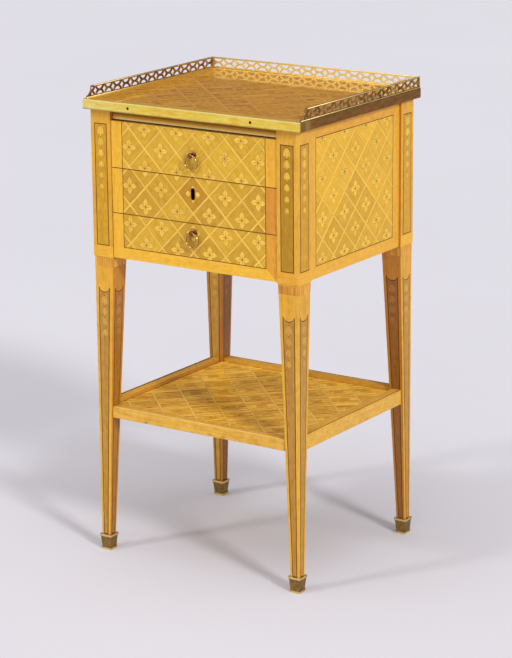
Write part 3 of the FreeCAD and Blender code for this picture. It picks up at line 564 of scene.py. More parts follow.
wood = {name: polished(f"{name}_veneer", colours, **more) for name, (*colours, more) in VENEERS.items()}
rail_wood = {axis: polished(f"rail_veneer_{axis}", RAIL, axis, rough=SATIN) for axis in "xy"}
slide_wood = slide_veneer("slide_veneer", SLIDE)
line_wood = line_veneer("line_veneer", (78, 38, 4), (150, 100, 26))
shelf_line = line_veneer("shelf_line_veneer", (92, 56, 16), (186, 128, 38), SHELF_GLOSS)
top_line = line_veneer("top_line_veneer", (104, 62, 14), (150, 98, 26), TOP_GLOSS)
oak = {axis: plain_wood(f"oak_{axis}", OAK, axis) for axis in "xy"}
# The oak of the middle drawer front, painted black as shade inside the keyhole.
keyhole_oak = plain_wood("keyhole_oak", OAK, "x", "keyhole_escutcheon")

bright_brass = front_brass("edge_brass", (255, 232, 108), (242, 194, 70))
gilt_brass = brass("gallery_brass", (255, 245, 178), (253, 226, 138), (0.42, 0.56), 90.0)
# The side galleries: a darker copy of the gallery's gilt brass, as painted shade.
painted_shade_gilt = brass("gallery_side_brass", (192, 147, 82), (102, 73, 38), (0.28, 0.44), 90.0)
knob_brass = brass("knob_brass", (176, 134, 74), (74, 52, 28), (0.14, 0.26), 300.0)
# The keyhole's escutcheon, painted near black as the shade of the hole.
slot_brass = brass("slot_brass", (64, 46, 26), (34, 24, 14), (0.36, 0.5), 300.0)
rosette_brass = brass("rosette_brass", (236, 190, 104), (172, 126, 66), (0.22, 0.36), 160.0)
# The rings: bright on their front half and dark behind, as painted highlight and painted shade.
pull_brass = ring_brass("ring_brass", (212, 160, 80), (72, 48, 22))
# The sides of the top's brass edge: painted dark as shade, with a painted glint near the front.
side_brass = painted_shade_brass("side_edge_brass", (150, 100, 34), (114, 74, 22))
sabot_brass = cup_brass("sabot_brass", (238, 208, 138), (162, 129, 74), (126, 97, 52))
lock_iron = iron("lock_iron", (92, 88, 82), (64, 46, 34))
screw_iron = iron("screw_iron", (64, 48, 32), (38, 26, 16))
hide = leather("writing_leather", (44, 62, 38), (74, 92, 52))


def linked(name, data):
    """A new object in the scene."""
    made = bpy.data.objects.new(name, data)
    bpy.context.scene.collection.objects.link(made)
    return made


def ray(angle):
    return Vector((cos(angle), sin(angle)))


def left_of(way):
    return Vector((-way.y, way.x))


def arc(sides):
    """Angles over half a turn."""
    return [pi * step / sides for step in range(sides + 1)]


def outline(points):
    return [Vector((u, v)) for u, v in points]


def rectangle(low_u, low_v, high_u, high_v):
    return outline(((low_u, low_v), (high_u, low_v), (high_u, high_v), (low_u, high_v)))


def inset(box, margin):
    return (box[0] + margin, box[1] + margin, box[2] - margin, box[3] - margin)


def diamond(centre, half_u, half_v):
    u, v = centre
    return outline(((u, v - half_v), (u + half_u, v), (u, v + half_v), (u - half_u, v)))


def disc(centre, radius, sides=12):
    return [centre + radius * ray(tau * step / sides) for step in range(sides)]


def stadium(centre, width, height, sides=8):
    """An upright slot with round ends."""
    reach = Vector((0, (height - width) / 2))
    upper = [centre + reach + width / 2 * ray(turn) for turn in arc(sides)]
    lower = [centre - reach - width / 2 * ray(turn) for turn in arc(sides)]
    return upper + lower


def leaf(base, angle, length, width, fullest=0.8, sides=7):
    """A pointed leaf that grows from its base in one direction."""
    ahead = ray(angle)
    aside = left_of(ahead)
    steps = [step / sides for step in range(1, sides)]
    halves = [width / 2 * sin(pi * step**fullest) for step in steps]
    right = [base + length * step * ahead - half * aside for step, half in zip(steps, halves)]
    left = [base + length * step * ahead + half * aside for step, half in zip(steps, halves)]
    return [base] + right + [base + length * ahead] + left[::-1]


def clipped(loop, low_u, low_v, high_u, high_v):
    """The part of a convex loop inside a rectangle."""
    limits = (((1, 0), low_u), ((-1, 0), -high_u), ((0, 1), low_v), ((0, -1), -high_v))
    for way, limit in limits:
        inwards = Vector(way)
        kept = []
        for index, point in enumerate(loop):
            before = loop[index - 1]
            here = point.dot(inwards) - limit
            there = before.dot(inwards) - limit
            if (here > 0) != (there > 0):
                kept.append(before.lerp(point, there / (there - here)))
            if here > 0:
                kept.append(point)
        loop = kept
    return loop


def area_of(loop):
    return sum(a.x * b.y - b.x * a.y for a, b in zip(loop, loop[1:] + loop[:1])) / 2


class Plane:
    """A face of the table: where its own origin is, and which ways its two directions run."""

    def __init__(self, origin, across, up=(0, 0, 1)):
        self.origin = Vector(origin)
        self.across = Vector(across).normalized()
        self.up = Vector(up).normalized()
        self.out = self.across.cross(self.up)

    @classmethod
    def level(cls, height):
        return cls((0, 0, height), (1, 0, 0), (0, 1, 0))

    def point(self, flat, rise):
        return self.origin + flat.x * self.across + flat.y * self.up + rise * self.out


class Inlay:
    """Thin closed pieces of veneer of one kind, which lie in the faces of one piece of the table."""

    LEAST_AREA = 0.4 * MM * MM
    OFFSET = 3.0

    def __init__(self, name, material, slot, body="case"):
        self.name = name
        self.material = material
        self.slot = slot
        self.body = body
        self.points, self.faces, self.grains, self.tones = [], [], [], []

    def lay(self, plane, loop, rise, grain=pi / 2, tone=None, hole=None):
        """Add one piece, with its grain at an angle from the plane's first direction."""
        if len(loop) < 3 or abs(area_of(loop)) < self.LEAST_AREA:
            return
        if area_of(loop) < 0:
            loop = loop[::-1]
        rings = [loop] + ([hole[::-1]] if hole else [])
        tone = chance.random() if tone is None else tone
        offset = Vector((chance.uniform(0, self.OFFSET), chance.uniform(0, self.OFFSET)))
        start = len(self.points)
        flats = [flat for ring in rings for flat in ring]
        count = len(flats)
        self.points += [plane.point(flat, -SINK) for flat in flats]
        self.points += [plane.point(flat, rise) for flat in flats]
        caps = self.caps(rings, flats)
        made = [tuple(corner + count for corner in cap) for cap in caps]
        made += [cap[::-1] for cap in caps]
        made += self.walls(rings, count)
        along_grain = ray(grain)
        across_grain = left_of(along_grain)
        for face in made:
            self.faces.append([start + corner for corner in face])
            self.tones.append(tone)
            for corner in face:
                flat = flats[corner % count]
                self.grains.append(offset + Vector((flat.dot(along_grain), flat.dot(across_grain))))

    @staticmethod
    def caps(rings, flats):
        """The corners of a piece seen from above, in triangles where it has a hole."""
        if len(rings) == 1:
            return [tuple(range(len(flats)))]
        shapes = tessellate_polygon([[flat.to_3d() for flat in ring] for ring in rings])
        rising = [area_of([flats[index] for index in shape]) > 0 for shape in shapes]
        return [tuple(shape if right else shape[::-1]) for shape, right in zip(shapes, rising)]

    @staticmethod
    def walls(rings, count):
        made = []
        first = 0
        for ring in rings:
            for index in range(len(ring)):
                a = first + index
                b = first + (index + 1) % len(ring)
                made.append((a, b, b + count, a + count))
            first += len(ring)
        return made

    def finish(self):
        if not self.faces:
            return
        mesh = bpy.data.meshes.new(self.name)
        mesh.from_pydata(self.points, [], self.faces)
        grain = mesh.uv_layers.new(name="grain")
        for spot, flat in zip(grain.data, self.grains):
            spot.uv = flat
        tone = mesh.attributes.new("tone", "FLOAT", "FACE")
        tone.data.foreach_set("value", self.tones)
        mesh.materials.append(self.material)
        piece = linked(self.name, mesh)
        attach(piece, self.body)


def inlays(name, woods, slot, body="case"):
    """One inlay for each kind of wood on a piece."""
    return {kind: Inlay(f"{name}_{kind}", wood, slot, body) for kind, wood in woods.items()}


def panel_woods(lines, *names):
    kinds = ("trellis", "lozenges", "flowers", "border")
    return {"lines": lines, **{kind: wood[name] for kind, name in zip(kinds, names)}}


FRONT_WOODS = panel_woods(line_wood, "strip", "olive", "petal", "border")
SIDE_WOODS = panel_woods(line_wood, "side_strip", "side_olive", "side_strip", "border")
SHELF_WOODS = panel_woods(shelf_line, "shelf_strip", "shelf_ground", "shelf_petal")
TOP_WOODS = panel_woods(top_line, "top_strip", "top_ground", "top_strip", "top_border")


class Marquetry:
    """The inlay of one panel: lines, trellis strips, lozenges, flowers and a border."""

    def __init__(self, name, plane, slot, body="case", woods=FRONT_WOODS, grains=BOTH_WAYS):
        self.name = name
        self.plane = plane
        self.slot = slot
        self.body = body
        self.grains = grains
        self.tone_gradient = 0.0
        self.tones = (0.0, 1.0)
        self.eye = FAINT
        self.stain = None
        self.kinds = inlays(name, woods, slot, body)

    def lay(self, kind, loop, room, *details, **more):
        """Add the part of a piece that lies in a room."""
        self.kinds[kind].lay(self.plane, clipped(loop, *room), *details, **more)

    def field(self, box, centre, period, seen=None, bare=None):
        """A trellis with a flower in each lozenge. box is the whole field, seen the part of it on this
        piece, and bare a place whose flower makes room for a hole."""
        seen = seen or box
        self.kinds["lines"].lay(self.plane, rectangle(*seen), LINE_RISE, tone=DARK, hole=bare)
        room = inset(box, FIELD_LINE)
        inner = (*map(max, seen[:2], room[:2]), *map(min, seen[2:], room[2:]))
        half_u, half_v = period[0] / 2, period[1] / 2
        slant = hypot(half_u, half_v)
        columns = ceil((box[2] - box[0]) / half_u) + 2
        rows = ceil((box[3] - box[1]) / half_v) + 2
        reach = columns + rows
        middle = Vector(centre)
        for step in range(-reach, reach):
            for lean, rise in ((1, PIECE_RISE), (-1, CROSSING_RISE)):
                start = middle + Vector(((2 * step + 1) * half_u, 0))
                ahead = Vector((half_u, lean * half_v)) / slant
                aside = STRIP_WIDTH / 2 * left_of(ahead)
                run = reach * slant * ahead
                band = [start - run - aside, start + run - aside, start + run + aside, start - run + aside]
                self.lay("trellis", band, inner, rise, atan2(ahead.y, ahead.x))
        shrink = 1 - (STRIP_WIDTH / 2 + HAIRLINE) * slant / (half_u * half_v)
        for column in range(-columns, columns + 1):
            for row in range(-rows, rows + 1):
                if (column + row) % 2:
                    continue
                spot = middle + Vector((column * half_u, row * half_v))
                hole = bare if bare and not column and not row else None
                self.lozenge(spot, (shrink * half_u, shrink * half_v), inner, hole)
                self.flower(spot, inner, hole)

    def lozenge(self, spot, halves, inner, hole):
        shape = diamond(spot, *halves)
        grain = chance.choice(self.grains)
        if hole:
            ground = Inlay(f"{self.name}_keyhole_lozenge", wood["keyhole"], self.slot, self.body)
            ground.lay(self.plane, clipped(shape, *inner), PIECE_RISE, grain, hole=hole)
            ground.finish()
            return
        # Paler towards the far edge of a panel, as set for it; on the shelf this is painted light.
        share = (spot.y - inner[1]) / (inner[3] - inner[1])
        graded_tone = self.tone_gradient * share + (1 - self.tone_gradient) * chance.uniform(*self.tones)
        if self.stain:
            graded_tone *= min(1.0, (spot - self.stain).length / STAIN_REACH)
        self.lay("lozenges", shape, inner, PIECE_RISE, grain, graded_tone)

    def flower(self, spot, inner, hole):
        """Four petals with a vein in each, dots between them and an eye, or bare petals round a hole."""
        tone = chance.random()
        for quarter in range(4):
            angle = quarter * pi / 2
            start, room = self.round_hole(spot, inner, hole, quarter) if hole else (PETAL_FROM, inner)
            ahead = ray(angle)
            length = PETAL_FROM + PETAL_LENGTH - start
            petal = leaf(spot + start * ahead, angle, length, PETAL_WIDTH)
            self.lay("flowers", petal, room, FLOWER_RISE, angle, tone)
            seat = spot + (start - OUTLINE) * ahead
            shade = leaf(seat, angle, length + 2 * OUTLINE, PETAL_WIDTH + 2 * OUTLINE)
            self.lay("lines", shade, room, SHADE_RISE, tone=SCORCHED)
            if hole:
                continue
            vein = leaf(spot + start * ahead, angle, VEIN_LENGTH, VEIN_WIDTH)
            self.lay("lines", vein, inner, DOT_RISE, tone=SCORCHED)
            dot = disc(spot + FLOWER_DOT_AT * ray(angle + pi / 4), FLOWER_DOT, SMALL_DISC_SIDES)
            self.lay("lines", dot, inner, DOT_RISE, tone=self.eye)
        if not hole:
            self.lay("lines", disc(spot, FLOWER_EYE), inner, DOT_RISE, tone=self.eye)

    @staticmethod
    def round_hole(spot, inner, hole, quarter):
        """Where a petal beside a hole starts, or the room for one that is cut off above or below it."""
        if quarter % 2 == 0:
            return max(abs(point.x - spot.x) for point in hole) + KEYHOLE_GAP_ASIDE, inner
        reach = max(abs(point.y - spot.y) for point in hole) + KEYHOLE_GAP_ABOVE
        if quarter == 1:
            return PETAL_FROM, (inner[0], spot.y + reach, inner[2], inner[3])
        return PETAL_FROM, (inner[0], inner[1], inner[2], spot.y - reach)

    def border(self, loop, grain, tone=None):
        self.kinds["border"].lay(self.plane, outline(loop), PIECE_RISE, grain, tone)

    def framed(self, box, border, centre, period):
        """A frame of four mitred strips, and a trellis inside it."""
        inner = inset(box, border)
        far, near = rectangle(*box), rectangle(*inner)
        for index in range(4):
            after = (index + 1) % 4
            self.border((far[index], far[after], near[after], near[index]), index % 2 * pi / 2)
        self.field(inner, centre, period)

    def finish(self):
        for kind in self.kinds.values():
            kind.finish()


def keyhole():
    """The middle of the keyhole and its outline, on the front."""
    low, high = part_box("keyhole_escutcheon")
    middle = Vector((0, (low.z + high.z) / 2))
    return middle, stadium(middle, high.x - low.x, high.z - low.z)


def front_panels():
    """The trellis runs on over the three drawer fronts, with the keyhole in the middle of a lozenge."""
    key, slot = keyhole()
    stack_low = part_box("lower_drawer_front")[0]
    stack_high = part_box("upper_drawer_front")[1]
    plane = Plane((0, stack_low.y, 0), (1, 0, 0))
    side = stack_high.x - FRONT_BORDER
    whole = (-side, stack_low.z + FRONT_FOOT_BORDER, side, stack_high.z + FIELD_LINE)
    for level in ("upper", "middle", "lower"):
        low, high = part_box(f"{level}_drawer_front")
        panel = Marquetry(f"{level}_drawer_front", plane, "case_marquetry", f"{level}_drawer")
        panel.tones = FRONT_TONES[level]
        bottom = max(low.z, whole[1])
        seen = (-side, bottom, side, high.z)
        panel.field(whole, key, FRONT_PERIOD, seen, slot if level == "middle" else None)
        for sign, tone in ((-1, LEFT_BORDER_TONE), (1, RIGHT_BORDER_TONES[level])):
            inner, outer = sign * side, sign * high.x
            strip = ((inner, bottom), (outer, low.z), (outer, high.z), (inner, high.z))
            panel.border(strip, pi / 2, tone)
        if bottom > low.z:
            foot = ((low.x, low.z), (high.x, low.z), (side, bottom), (-side, bottom))
            panel.border(foot, 0, FOOT_BORDER_TONE)
        panel.finish()


def upright_panel(node, plane, half, period):
    """A framed trellis on a side or on the back of the case."""
    low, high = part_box(node)
    panel = Marquetry(node, plane, "case_marquetry", woods=SIDE_WOODS)
    panel.tone_gradient = SIDE_TONE_GRADIENT
    panel.eye = DARK
    panel.stain = SIDE_STAIN if node == "side_panel_right" else None
    panel.framed((-half, low.z, half, high.z), SIDE_BORDER, keyhole()[0], period)
    panel.finish()


def case_panels():
    side_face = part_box("side_panel_right")[1].x
    side_half = -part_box("leg_front_right")[1].y
    for side, sign in (("left", -1), ("right", 1)):
        plane = Plane((sign * side_face, 0, 0), (0, sign, 0))
        upright_panel(f"side_panel_{side}", plane, side_half, SIDE_PERIOD)
    plane = Plane((0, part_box("back_panel")[1].y, 0), (-1, 0, 0))
    upright_panel("back_panel", plane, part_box("leg_back_right")[0].x, BACK_PERIOD)


def flat_panels():
    """The framed trellis on the top and the sunk one on the shelf."""
    low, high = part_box("top_board")
    top = Marquetry("top_board", Plane.level(high.z), "top_marquetry", woods=TOP_WOODS, grains=ONE_WAY)
    top.framed((low.x, low.y, high.x, high.y), TOP_BORDER, (0, 0), TOP_PERIOD)
    top.finish()
    rail_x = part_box("shelf_rail_right")[0].x
    rail_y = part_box("shelf_rail_back")[0].y
    plane = Plane.level(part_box("shelf_panel")[1].z)
    shelf = Marquetry("shelf_panel", plane, "shelf_marquetry", woods=SHELF_WOODS, grains=ONE_WAY)
    # Painted light: the shelf's lozenges are darker at the front and paler towards the back.
    shelf.tone_gradient = SHELF_PAINTED_GRADIENT
    shelf.field((-rail_x, -rail_y, rail_x, rail_y), (0, 0), SHELF_PERIOD)
    shelf.finish()


def shelf_edges():
    """A painted glint along the front rail of the shelf with nicks below it, a slit painted dark as shade at
    its right end, and lines along the rim.
    """
    low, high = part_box("shelf_rail_front")
    ends = high.x - RAIL_TENON
    edge = low.y + RAIL_EDGE
    # A pale strip along the front edge of the rail's top, as a painted glint.
    pale = Inlay("shelf_rail_front_edge", wood["painted_glint"], "banding_wood")
    pale.lay(Plane.level(high.z), rectangle(-ends, edge, ends, edge + RAIL_PALE), PIECE_RISE, 0.0)
    pale.finish()
    marks = Inlay("shelf_rail_marks", line_wood, "banding_wood")
    face = Plane((0, low.y, 0), (1, 0, 0))
    # A dark line painted as the shade of the gap between the rail's right end and the leg.
    slit = rectangle(ends - RAIL_SLIT, low.z + RAIL_EDGE, ends, high.z - RAIL_EDGE)
    marks.lay(face, slit, LINE_RISE, tone=DARK)
    for _ in range(RAIL_NICKS):
        spot = Vector((chance.uniform(*NICK_SPAN) * ends, low.z + chance.uniform(*NICK_HEIGHTS) * MM))
        nick = leaf(spot, chance.uniform(*NICK_SLANTS), chance.uniform(*NICK_LENGTHS) * MM, NICK_WIDTH)
        marks.lay(face, nick, LINE_RISE, 0.0, FAINT)
    for name, (width, tone) in RAIL_LINES.items():
        low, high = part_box(f"shelf_rail_{name}")
        if name == "back":
            ends = high.x - RAIL_TENON
            box = (-ends, high.y - RAIL_EDGE - width, ends, high.y - RAIL_EDGE)
        else:
            ends = high.y - RAIL_TENON
            outer = max(abs(low.x), abs(high.x)) - RAIL_EDGE
            across = sorted(copysign(edge, high.x) for edge in (outer, outer - width))
            box = (across[0], -ends, across[1], ends)
        marks.lay(Plane.level(high.z), rectangle(*box), PIECE_RISE, tone=tone)
    marks.finish()


def shelf_rim():
    """Paler veneer on the inside of the rim, at the left and right: painted light on faces that the case
    shades.
    """
    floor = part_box("shelf_panel")[1].z
    inside = Inlay("shelf_rim_inside", wood["rim"], "banding_wood")
    for name, sign in (("left", 1), ("right", -1)):
        low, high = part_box(f"shelf_rail_{name}")
        plane = Plane((high.x if sign > 0 else low.x, 0, 0), (0, sign, 0))
        ends = high.y - RAIL_TENON
        inside.lay(plane, rectangle(-ends, floor, ends, high.z - RAIL_EDGE), LINE_RISE, 0.0)
    inside.finish()


class LegInlay:
    """The inlay of one leg and the post above it."""

    WOODS = {
        "post_lines": line_wood,
        "post_panels": wood["moss"],
        "post_husks": wood["husk"],
        "post_bands": wood["border"],
        "leg_lines": line_wood,
        "leg_panels": wood["leg_ground"],
        "leg_husks": wood["leg_husk"],
        "leg_collar": wood["russet"],
    }

    def __init__(self, end, side):
        self.name = f"leg_{end}_{side}"
        self.side = 1 if side == "right" else -1
        self.end = 1 if end == "back" else -1
        low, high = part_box(self.name)
        self.foot_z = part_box(f"sabot_{end}_{side}")[1].z
        self.head_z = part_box("case_bottom")[0].z
        self.top_z = high.z
        self.length = self.head_z - self.foot_z
        self.post = high.x - low.x
        self.head = self.post - 2 * LEG_STEP
        self.outer = (max(abs(low.x), abs(high.x)), max(abs(low.y), abs(high.y)))
        self.kinds = inlays(self.name, self.WOODS, "leg_veneer")

    def width(self, drop):
        """The width of the leg at a place below its head."""
        return LEG_FOOT + (self.head - LEG_FOOT) * (self.length + drop) / self.length

    def post_faces(self):
        """The two outer faces of the post, each from the middle of its width."""
        x, y = self.side * self.outer[0], self.end * self.outer[1]
        middle_x, middle_y = x - self.side * self.post / 2, y - self.end * self.post / 2
        yield Plane((x, middle_y, 0), (0, self.side, 0))
        yield Plane((middle_x, y, 0), (-self.end, 0, 0))

    def leg_faces(self):
        """The leg's four faces, from the outer corner at its head, with the way that each runs inwards."""
        x = self.side * (self.outer[0] - LEG_STEP)
        y = self.end * (self.outer[1] - LEG_STEP)
        taper = (self.head - LEG_FOOT) / self.length
        inner_x, inner_y = x - self.side * self.head, y - self.end * self.head
        inwards = self.side * self.end
        yield Plane((x, y, self.head_z), (0, self.side, 0)), -inwards
        yield Plane((x, y, self.head_z), (-self.end, 0, 0)), inwards
        yield Plane((inner_x, y, self.head_z), (0, -self.side, 0), (-self.side * taper, 0, 1)), inwards
        yield Plane((x, inner_y, self.head_z), (self.end, 0, 0), (0, -self.end * taper, 1)), -inwards

    def husk_chain(self, plane, start, count, kind, tones=(0.0, 1.0)):
        """Bellflowers of three leaves that hang one under the other and grow smaller."""
        husks, lines = self.kinds[f"{kind}_husks"], self.kinds[f"{kind}_lines"]
        for index in range(count):
            size = 1 - HUSK_SHRINK * index
            base = start - Vector((0, index * HUSK_PITCH))
            tone = chance.uniform(*tones)
            for turn, rise in ((-1, FLOWER_RISE), (1, FLOWER_RISE), (0, LEAF_RISE)):
                angle = -pi / 2 + turn * HUSK_SPREAD
                length = size * HUSK_LENGTH * (HUSK_SIDE_SHARE if turn else 1.0)
                width = size * HUSK_LEAF
                husks.lay(plane, leaf(base, angle, length, width, HUSK_FULLEST), rise, angle, tone)
                shade = leaf(base, angle, length + OUTLINE, width + 2 * OUTLINE, HUSK_FULLEST)
                lines.lay(plane, shade, rise - (FLOWER_RISE - SHADE_RISE) / 2, tone=SCORCHED)
            lines.lay(plane, disc(base, size * HUSK_KNOT, SMALL_DISC_SIDES), DOT_RISE, tone=DARK)

    def inlay_post(self):
        half = self.post / 2
        low = self.head_z + POST_PANEL_FOOT_MARGIN
        high = self.top_z - POST_PANEL_TOP_MARGIN
        side = half - POST_PANEL_MARGIN
        box = (-side, low, side, high)
        for plane in self.post_faces():
            self.kinds["post_lines"].lay(plane, rectangle(*box), LINE_RISE, tone=DARK)
            dusky = self.name == "leg_front_right" and plane.across.x
            tone = DUSKY_POST if dusky else chance.uniform(*POST_TONES)
            self.kinds["post_panels"].lay(plane, rectangle(*inset(box, PANEL_LINE)), PIECE_RISE, tone=tone)
            self.husk_chain(plane, Vector((0, high - POST_HUSK_DROP)), POST_HUSKS, "post")
            band = rectangle(-half, self.head_z, half, low - POST_BAND_GAP)
            self.kinds["post_bands"].lay(plane, band, PIECE_RISE, 0.0)

    def panel_outline(self, inwards, line):
        """A leg panel inside a line round it: its top dips between two shoulders, and it narrows towards
        the sabot. Also where its dip is deepest."""
        top = -LEG_PANEL_DROP - line
        bottom = line - self.length

        def edges(drop):
            share = -drop / self.length
            margin = LEG_PANEL_MARGIN + (LEG_PANEL_FOOT_MARGIN - LEG_PANEL_MARGIN) * share
            return margin + line, self.width(drop) - margin - line

        near_top, far_top = edges(top)
        near_low, far_low = edges(bottom)
        shoulder = max(SCALLOP_SHOULDER - line, LEAST_SHOULDER)
        chord_half = (far_top - near_top) / 2 - shoulder
        middle = (far_top + near_top) / 2
        dip = [
            (middle + chord_half * cos(turn), top - SCALLOP_DIP * sin(turn))
            for turn in arc(SCALLOP_SIDES)
        ]
        ring = [(near_low, bottom), (far_low, bottom), (far_top, top)] + dip + [(near_top, top)]
        return outline((inwards * u, v) for u, v in ring), Vector((inwards * middle, top - SCALLOP_DIP))

    def inlay_leg(self):
        for plane, inwards in self.leg_faces():
            loop, _ = self.panel_outline(inwards, 0.0)
            self.kinds["leg_lines"].lay(plane, loop, LINE_RISE, tone=DARK)
            loop, hang = self.panel_outline(inwards, PANEL_LINE)
            tones = LEG_HUSK_TONES
            if not (plane.up.x or plane.up.y):
                tone = chance.uniform(*LEG_TONES)
            else:
                # The inner faces take set tones, as painted light and shade.
                tone = INNER_FACE_TONES[self.side] if plane.across.x else INNER_SIDE_TONES[self.end]
                tones = [tone + step for step in INNER_HUSK_TONES]
            self.kinds["leg_panels"].lay(plane, loop, PIECE_RISE, tone=tone)
            self.husk_chain(plane, hang - Vector((0, LEG_HUSK_DROP)), LEG_HUSKS, "leg", tones)
            self.inlay_collar(plane, inwards)

    def inlay_collar(self, plane, inwards):
        high, low = -COLLAR_DROP, -COLLAR_DROP - COLLAR_HEIGHT
        far_low, far_high = inwards * self.width(low), inwards * self.width(high)
        tone = chance.uniform(*COLLAR_TONES) if plane.across.x else FADED_COLLAR
        tone = tone if self.side > 0 else FADED_COLLAR
        ring = outline(((0, low), (far_low, low), (far_high, high), (0, high)))
        self.kinds["leg_collar"].lay(plane, ring, PIECE_RISE, tone=tone)

    def finish(self):
        self.inlay_post()
        self.inlay_leg()
        for kind in self.kinds.values():
            kind.finish()


def bead(start, end, out):
    """The points and faces of a thin half-round bead along an edge; out points away from its seat."""
    start, end, out = Vector(start), Vector(end), Vector(out)
    aside = (end - start).normalized().cross(out)
    ring = [BEAD * (cos(turn) * aside + sin(turn) * out) for turn in arc(BEAD_SIDES)]
    size = len(ring)
    points = [corner + offset for corner in (start, end) for offset in ring]
    faces = [(a, a + size, a + 1 + size, a + 1) for a in range(size - 1)]
    faces += [(size - 1, 2 * size - 1, size, 0), tuple(range(size)), tuple(range(size, 2 * size))[::-1]]
    return points, faces


def bead_edges(side, low, high):
    """The ends of the four beads along one stretch of the gallery, and the way that each looks."""
    for z, slope in ((low.z + BEAD_SEAT, 0.0), (high.z - BEAD_SEAT, high.z - low.z)):
        near = low.y + slope
        if side == "back":
            yield (low.x, low.y, z), (high.x, low.y, z), (0, -1, 0)
            yield (low.x, high.y, z), (high.x, high.y, z), (0, 1, 0)
        else:
            yield (low.x, near, z), (low.x, high.y, z), (-1, 0, 0)
            yield (high.x, near, z), (high.x, high.y, z), (1, 0, 0)


def bead_galleries():
    """Moulded beads of brass along the rails of the gallery, inside and outside."""
    for side in ("left", "back", "right"):
        points, faces = [], []
        for edge in bead_edges(side, *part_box(f"gallery_{side}")):
            more_points, more_faces = bead(*edge)
            faces += [[len(points) + corner for corner in face] for face in more_faces]
            points += more_points
        mesh = bpy.data.meshes.new(f"gallery_{side}_beads")
        mesh.from_pydata(points, [], faces)
        for face in mesh.polygons:
            face.use_smooth = len(face.vertices) == 4
        mesh.materials.append(gilt_brass)
        piece = linked(mesh.name, mesh)
        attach(piece, "case")


def tool_leather():
    """Two gilt lines round the leather of the writing slide."""
    low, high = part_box("slide_leather")
    gilt = Inlay("slide_leather_tooling", gilt_brass, "writing_leather", "writing_slide")
    box = (low.x, low.y, high.x, high.y)
    for margin, width in TOOLING:
        outer, inner = rectangle(*inset(box, margin)), rectangle(*inset(box, margin + width))
        gilt.lay(Plane.level(high.z), outer, LINE_RISE, hole=inner)
    gilt.finish()


# The material of each piece of the part: the first row that its name fits, where * stands for any letters
FINISHES = (
    ("leg_*", wood["leg"]),
    ("sabot_*", sabot_brass),
    ("edge_band_front", bright_brass),
    ("edge_band_screws", screw_iron),
    ("edge_band_*", side_brass),
    ("gallery_back", gilt_brass),
    ("gallery_*", painted_shade_gilt),
    ("slide_front", slide_wood),
    ("slide_leather", hide),
    ("shelf_rail_front", rail_wood["x"]),
    ("shelf_rail_back", rail_wood["x"]),
    ("shelf_rail_*", rail_wood["y"]),
    ("*_pull_knob", knob_brass),
    ("*_pull_ring", pull_brass),
    ("*_pull_rosette", rosette_brass),
    ("keyhole_escutcheon", slot_brass),
    ("middle_drawer_front", keyhole_oak),
    ("lock_*", lock_iron),
    ("*_side_*", oak["y"]),
    ("drawer_guides*", oak["y"]),
    ("*", oak["x"]),
)
SOFT_EDGES = {
    "leg_": 0.5 * MM,
    "sabot_": 0.35 * MM,
    "edge_band_": 0.7 * MM,
    "gallery_": 0.25 * MM,
    "shelf_rail_": 0.6 * MM,
    "slide_front": 0.5 * MM,
}
WELD_REACH = 0.01 * MM
FLAT_ANGLE = radians(1)
SHARP_ANGLE = radians(40)


def soften(piece, width):
    """Round the sharp edges of a piece a little, as handling and polish do."""
    weld = piece.modifiers.new("weld", "WELD")
    weld.merge_threshold = WELD_REACH
    if not piece.name.startswith("gallery_"):
        flat = piece.modifiers.new("flat", "DECIMATE")
        flat.decimate_type = "DISSOLVE"
        flat.angle_limit = FLAT_ANGLE
    bevel = piece.modifiers.new("bevel", "BEVEL")
    bevel.width = width
    bevel.segments = 2
    bevel.limit_method = "ANGLE"
    bevel.angle_limit = SHARP_ANGLE
    bevel.harden_normals = True


def dress_part():
    for name, piece in nodes.items():
        piece.data.materials.clear()
        piece.data.materials.append(next(finish for row, finish in FINISHES if fnmatchcase(name, row)))
        for start, width in SOFT_EDGES.items():
            if name.startswith(start) and name != "edge_band_screws":
                soften(piece, width)


# Camera: angles in degrees, its focal length in pixels and the height of the picture
CAMERA_AZIMUTH = 33.932
CAMERA_ELEVATION = 15.187
CAMERA_ROLL = -0.521
CAMERA_DISTANCE = 3.7257
CAMERA_TARGET = Vector((0.095755, -0.140681, 0.394798))
CAMERA_FOCUS = 2502.6
PICTURE_HEIGHT = 658
SENSOR = 36

# Lamps: name, azimuth, elevation, breadth in degrees and strength
LAMPS = (
    ("left", -30, 35, 8, 0.63),
    ("right", 66, 31, 10, 1.67),
    ("front", 60, 50, 100, 0.3),
    ("overhead", 0, 80, 60, 0.95),
)

# The studio: half the breadth of the floor, and how bright the sky is low down, overhead and behind
FLOOR_REACH = 40
FLOOR_GREYS = ((215, 213, 220), (220, 218, 225))
SKY_COLOUR = (250, 248, 252)
SKY_LOW = 0.8
SKY_HIGH = 0.45
SKY_BEHIND = 0.08


def direction(azimuth, elevation):
    """From the table towards a place round it; azimuth 0 is in front and 90 to the right."""
    a, e = radians(azimuth), radians(elevation)
    return Vector((sin(a) * cos(e), -cos(a) * cos(e), sin(e)))


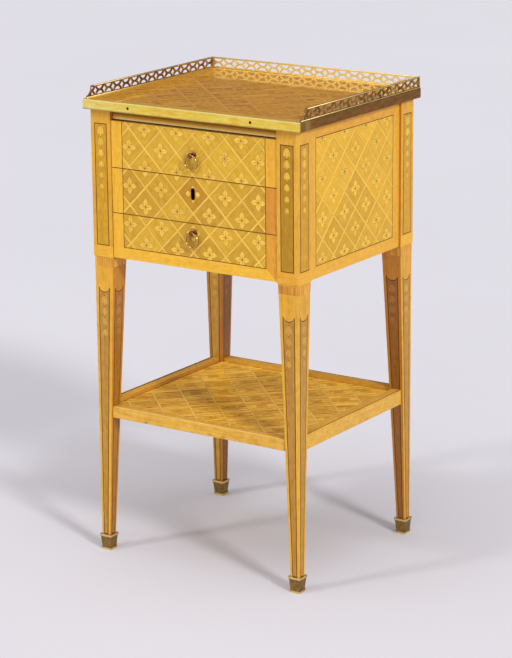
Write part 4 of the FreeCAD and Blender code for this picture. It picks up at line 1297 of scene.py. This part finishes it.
def make_camera():
    data = bpy.data.cameras.new("camera")
    data.sensor_width = SENSOR
    data.lens = CAMERA_FOCUS * SENSOR / PICTURE_HEIGHT
    data.clip_end = 100
    camera = linked("camera", data)
    back = direction(CAMERA_AZIMUTH, CAMERA_ELEVATION)
    right = direction(CAMERA_AZIMUTH + 90, 0)
    rolled = Matrix.Rotation(radians(CAMERA_ROLL), 3, back)
    turn = Matrix((rolled @ right, rolled @ back.cross(right), back)).transposed().to_4x4()
    camera.matrix_world = Matrix.Translation(CAMERA_TARGET + CAMERA_DISTANCE * back) @ turn
    bpy.context.scene.camera = camera


def lamp(name, azimuth, elevation, spread, strength):
    """A soft light from far away, the same all over the floor."""
    data = bpy.data.lights.new(name, "SUN")
    data.angle = radians(spread)
    data.energy = strength
    light = linked(name, data)
    light.rotation_mode = "QUATERNION"
    light.rotation_quaternion = direction(azimuth, elevation).to_track_quat("Z", "Y")


def make_sky():
    """A plain studio: pale round the floor and overhead, and between them dim behind the table."""
    world = bpy.data.worlds.new("studio")
    bpy.context.scene.world = world
    world.use_nodes = True
    sky = Nodes(world.node_tree)
    place = sky.add("ShaderNodeTexCoord").outputs["Generated"]
    middle = sky.ranged(sky.axis(place, "Y"), -0.6, 0.6, SKY_HIGH, SKY_BEHIND)
    height = sky.axis(place, "Z")
    above = sky.ranged(height, 0.5, 0.75, middle, SKY_HIGH)
    strength = sky.ranged(height, 0.06, 0.16, SKY_LOW, above)
    background = sky.tree.nodes["Background"]
    sky.join(srgb(*SKY_COLOUR), background.inputs["Color"])
    sky.join(strength, background.inputs["Strength"])


def make_floor():
    mesh = bpy.data.meshes.new("floor")
    corners = rectangle(-FLOOR_REACH, -FLOOR_REACH, FLOOR_REACH, FLOOR_REACH)
    mesh.from_pydata([corner.to_3d() for corner in corners], [], [(0, 1, 2, 3)])
    floor = linked("floor", mesh)
    shader = Shader("floor")
    clouds = shader.noise(shader.place(), 0.8, 2.0)
    shader.surface(base_color=shader.ramp(clouds, FLOOR_GREYS, 0.3), roughness=0.7)
    mesh.materials.append(shader.material)


dress_part()
front_panels()
case_panels()
flat_panels()
shelf_edges()
shelf_rim()
bead_galleries()
for leg_end in ("front", "back"):
    for leg_side in ("left", "right"):
        LegInlay(leg_end, leg_side).finish()
tool_leather()
make_floor()
make_sky()
for lamp_row in LAMPS:
    lamp(*lamp_row)
make_camera()
bpy.context.scene.view_settings.view_transform = "Standard"
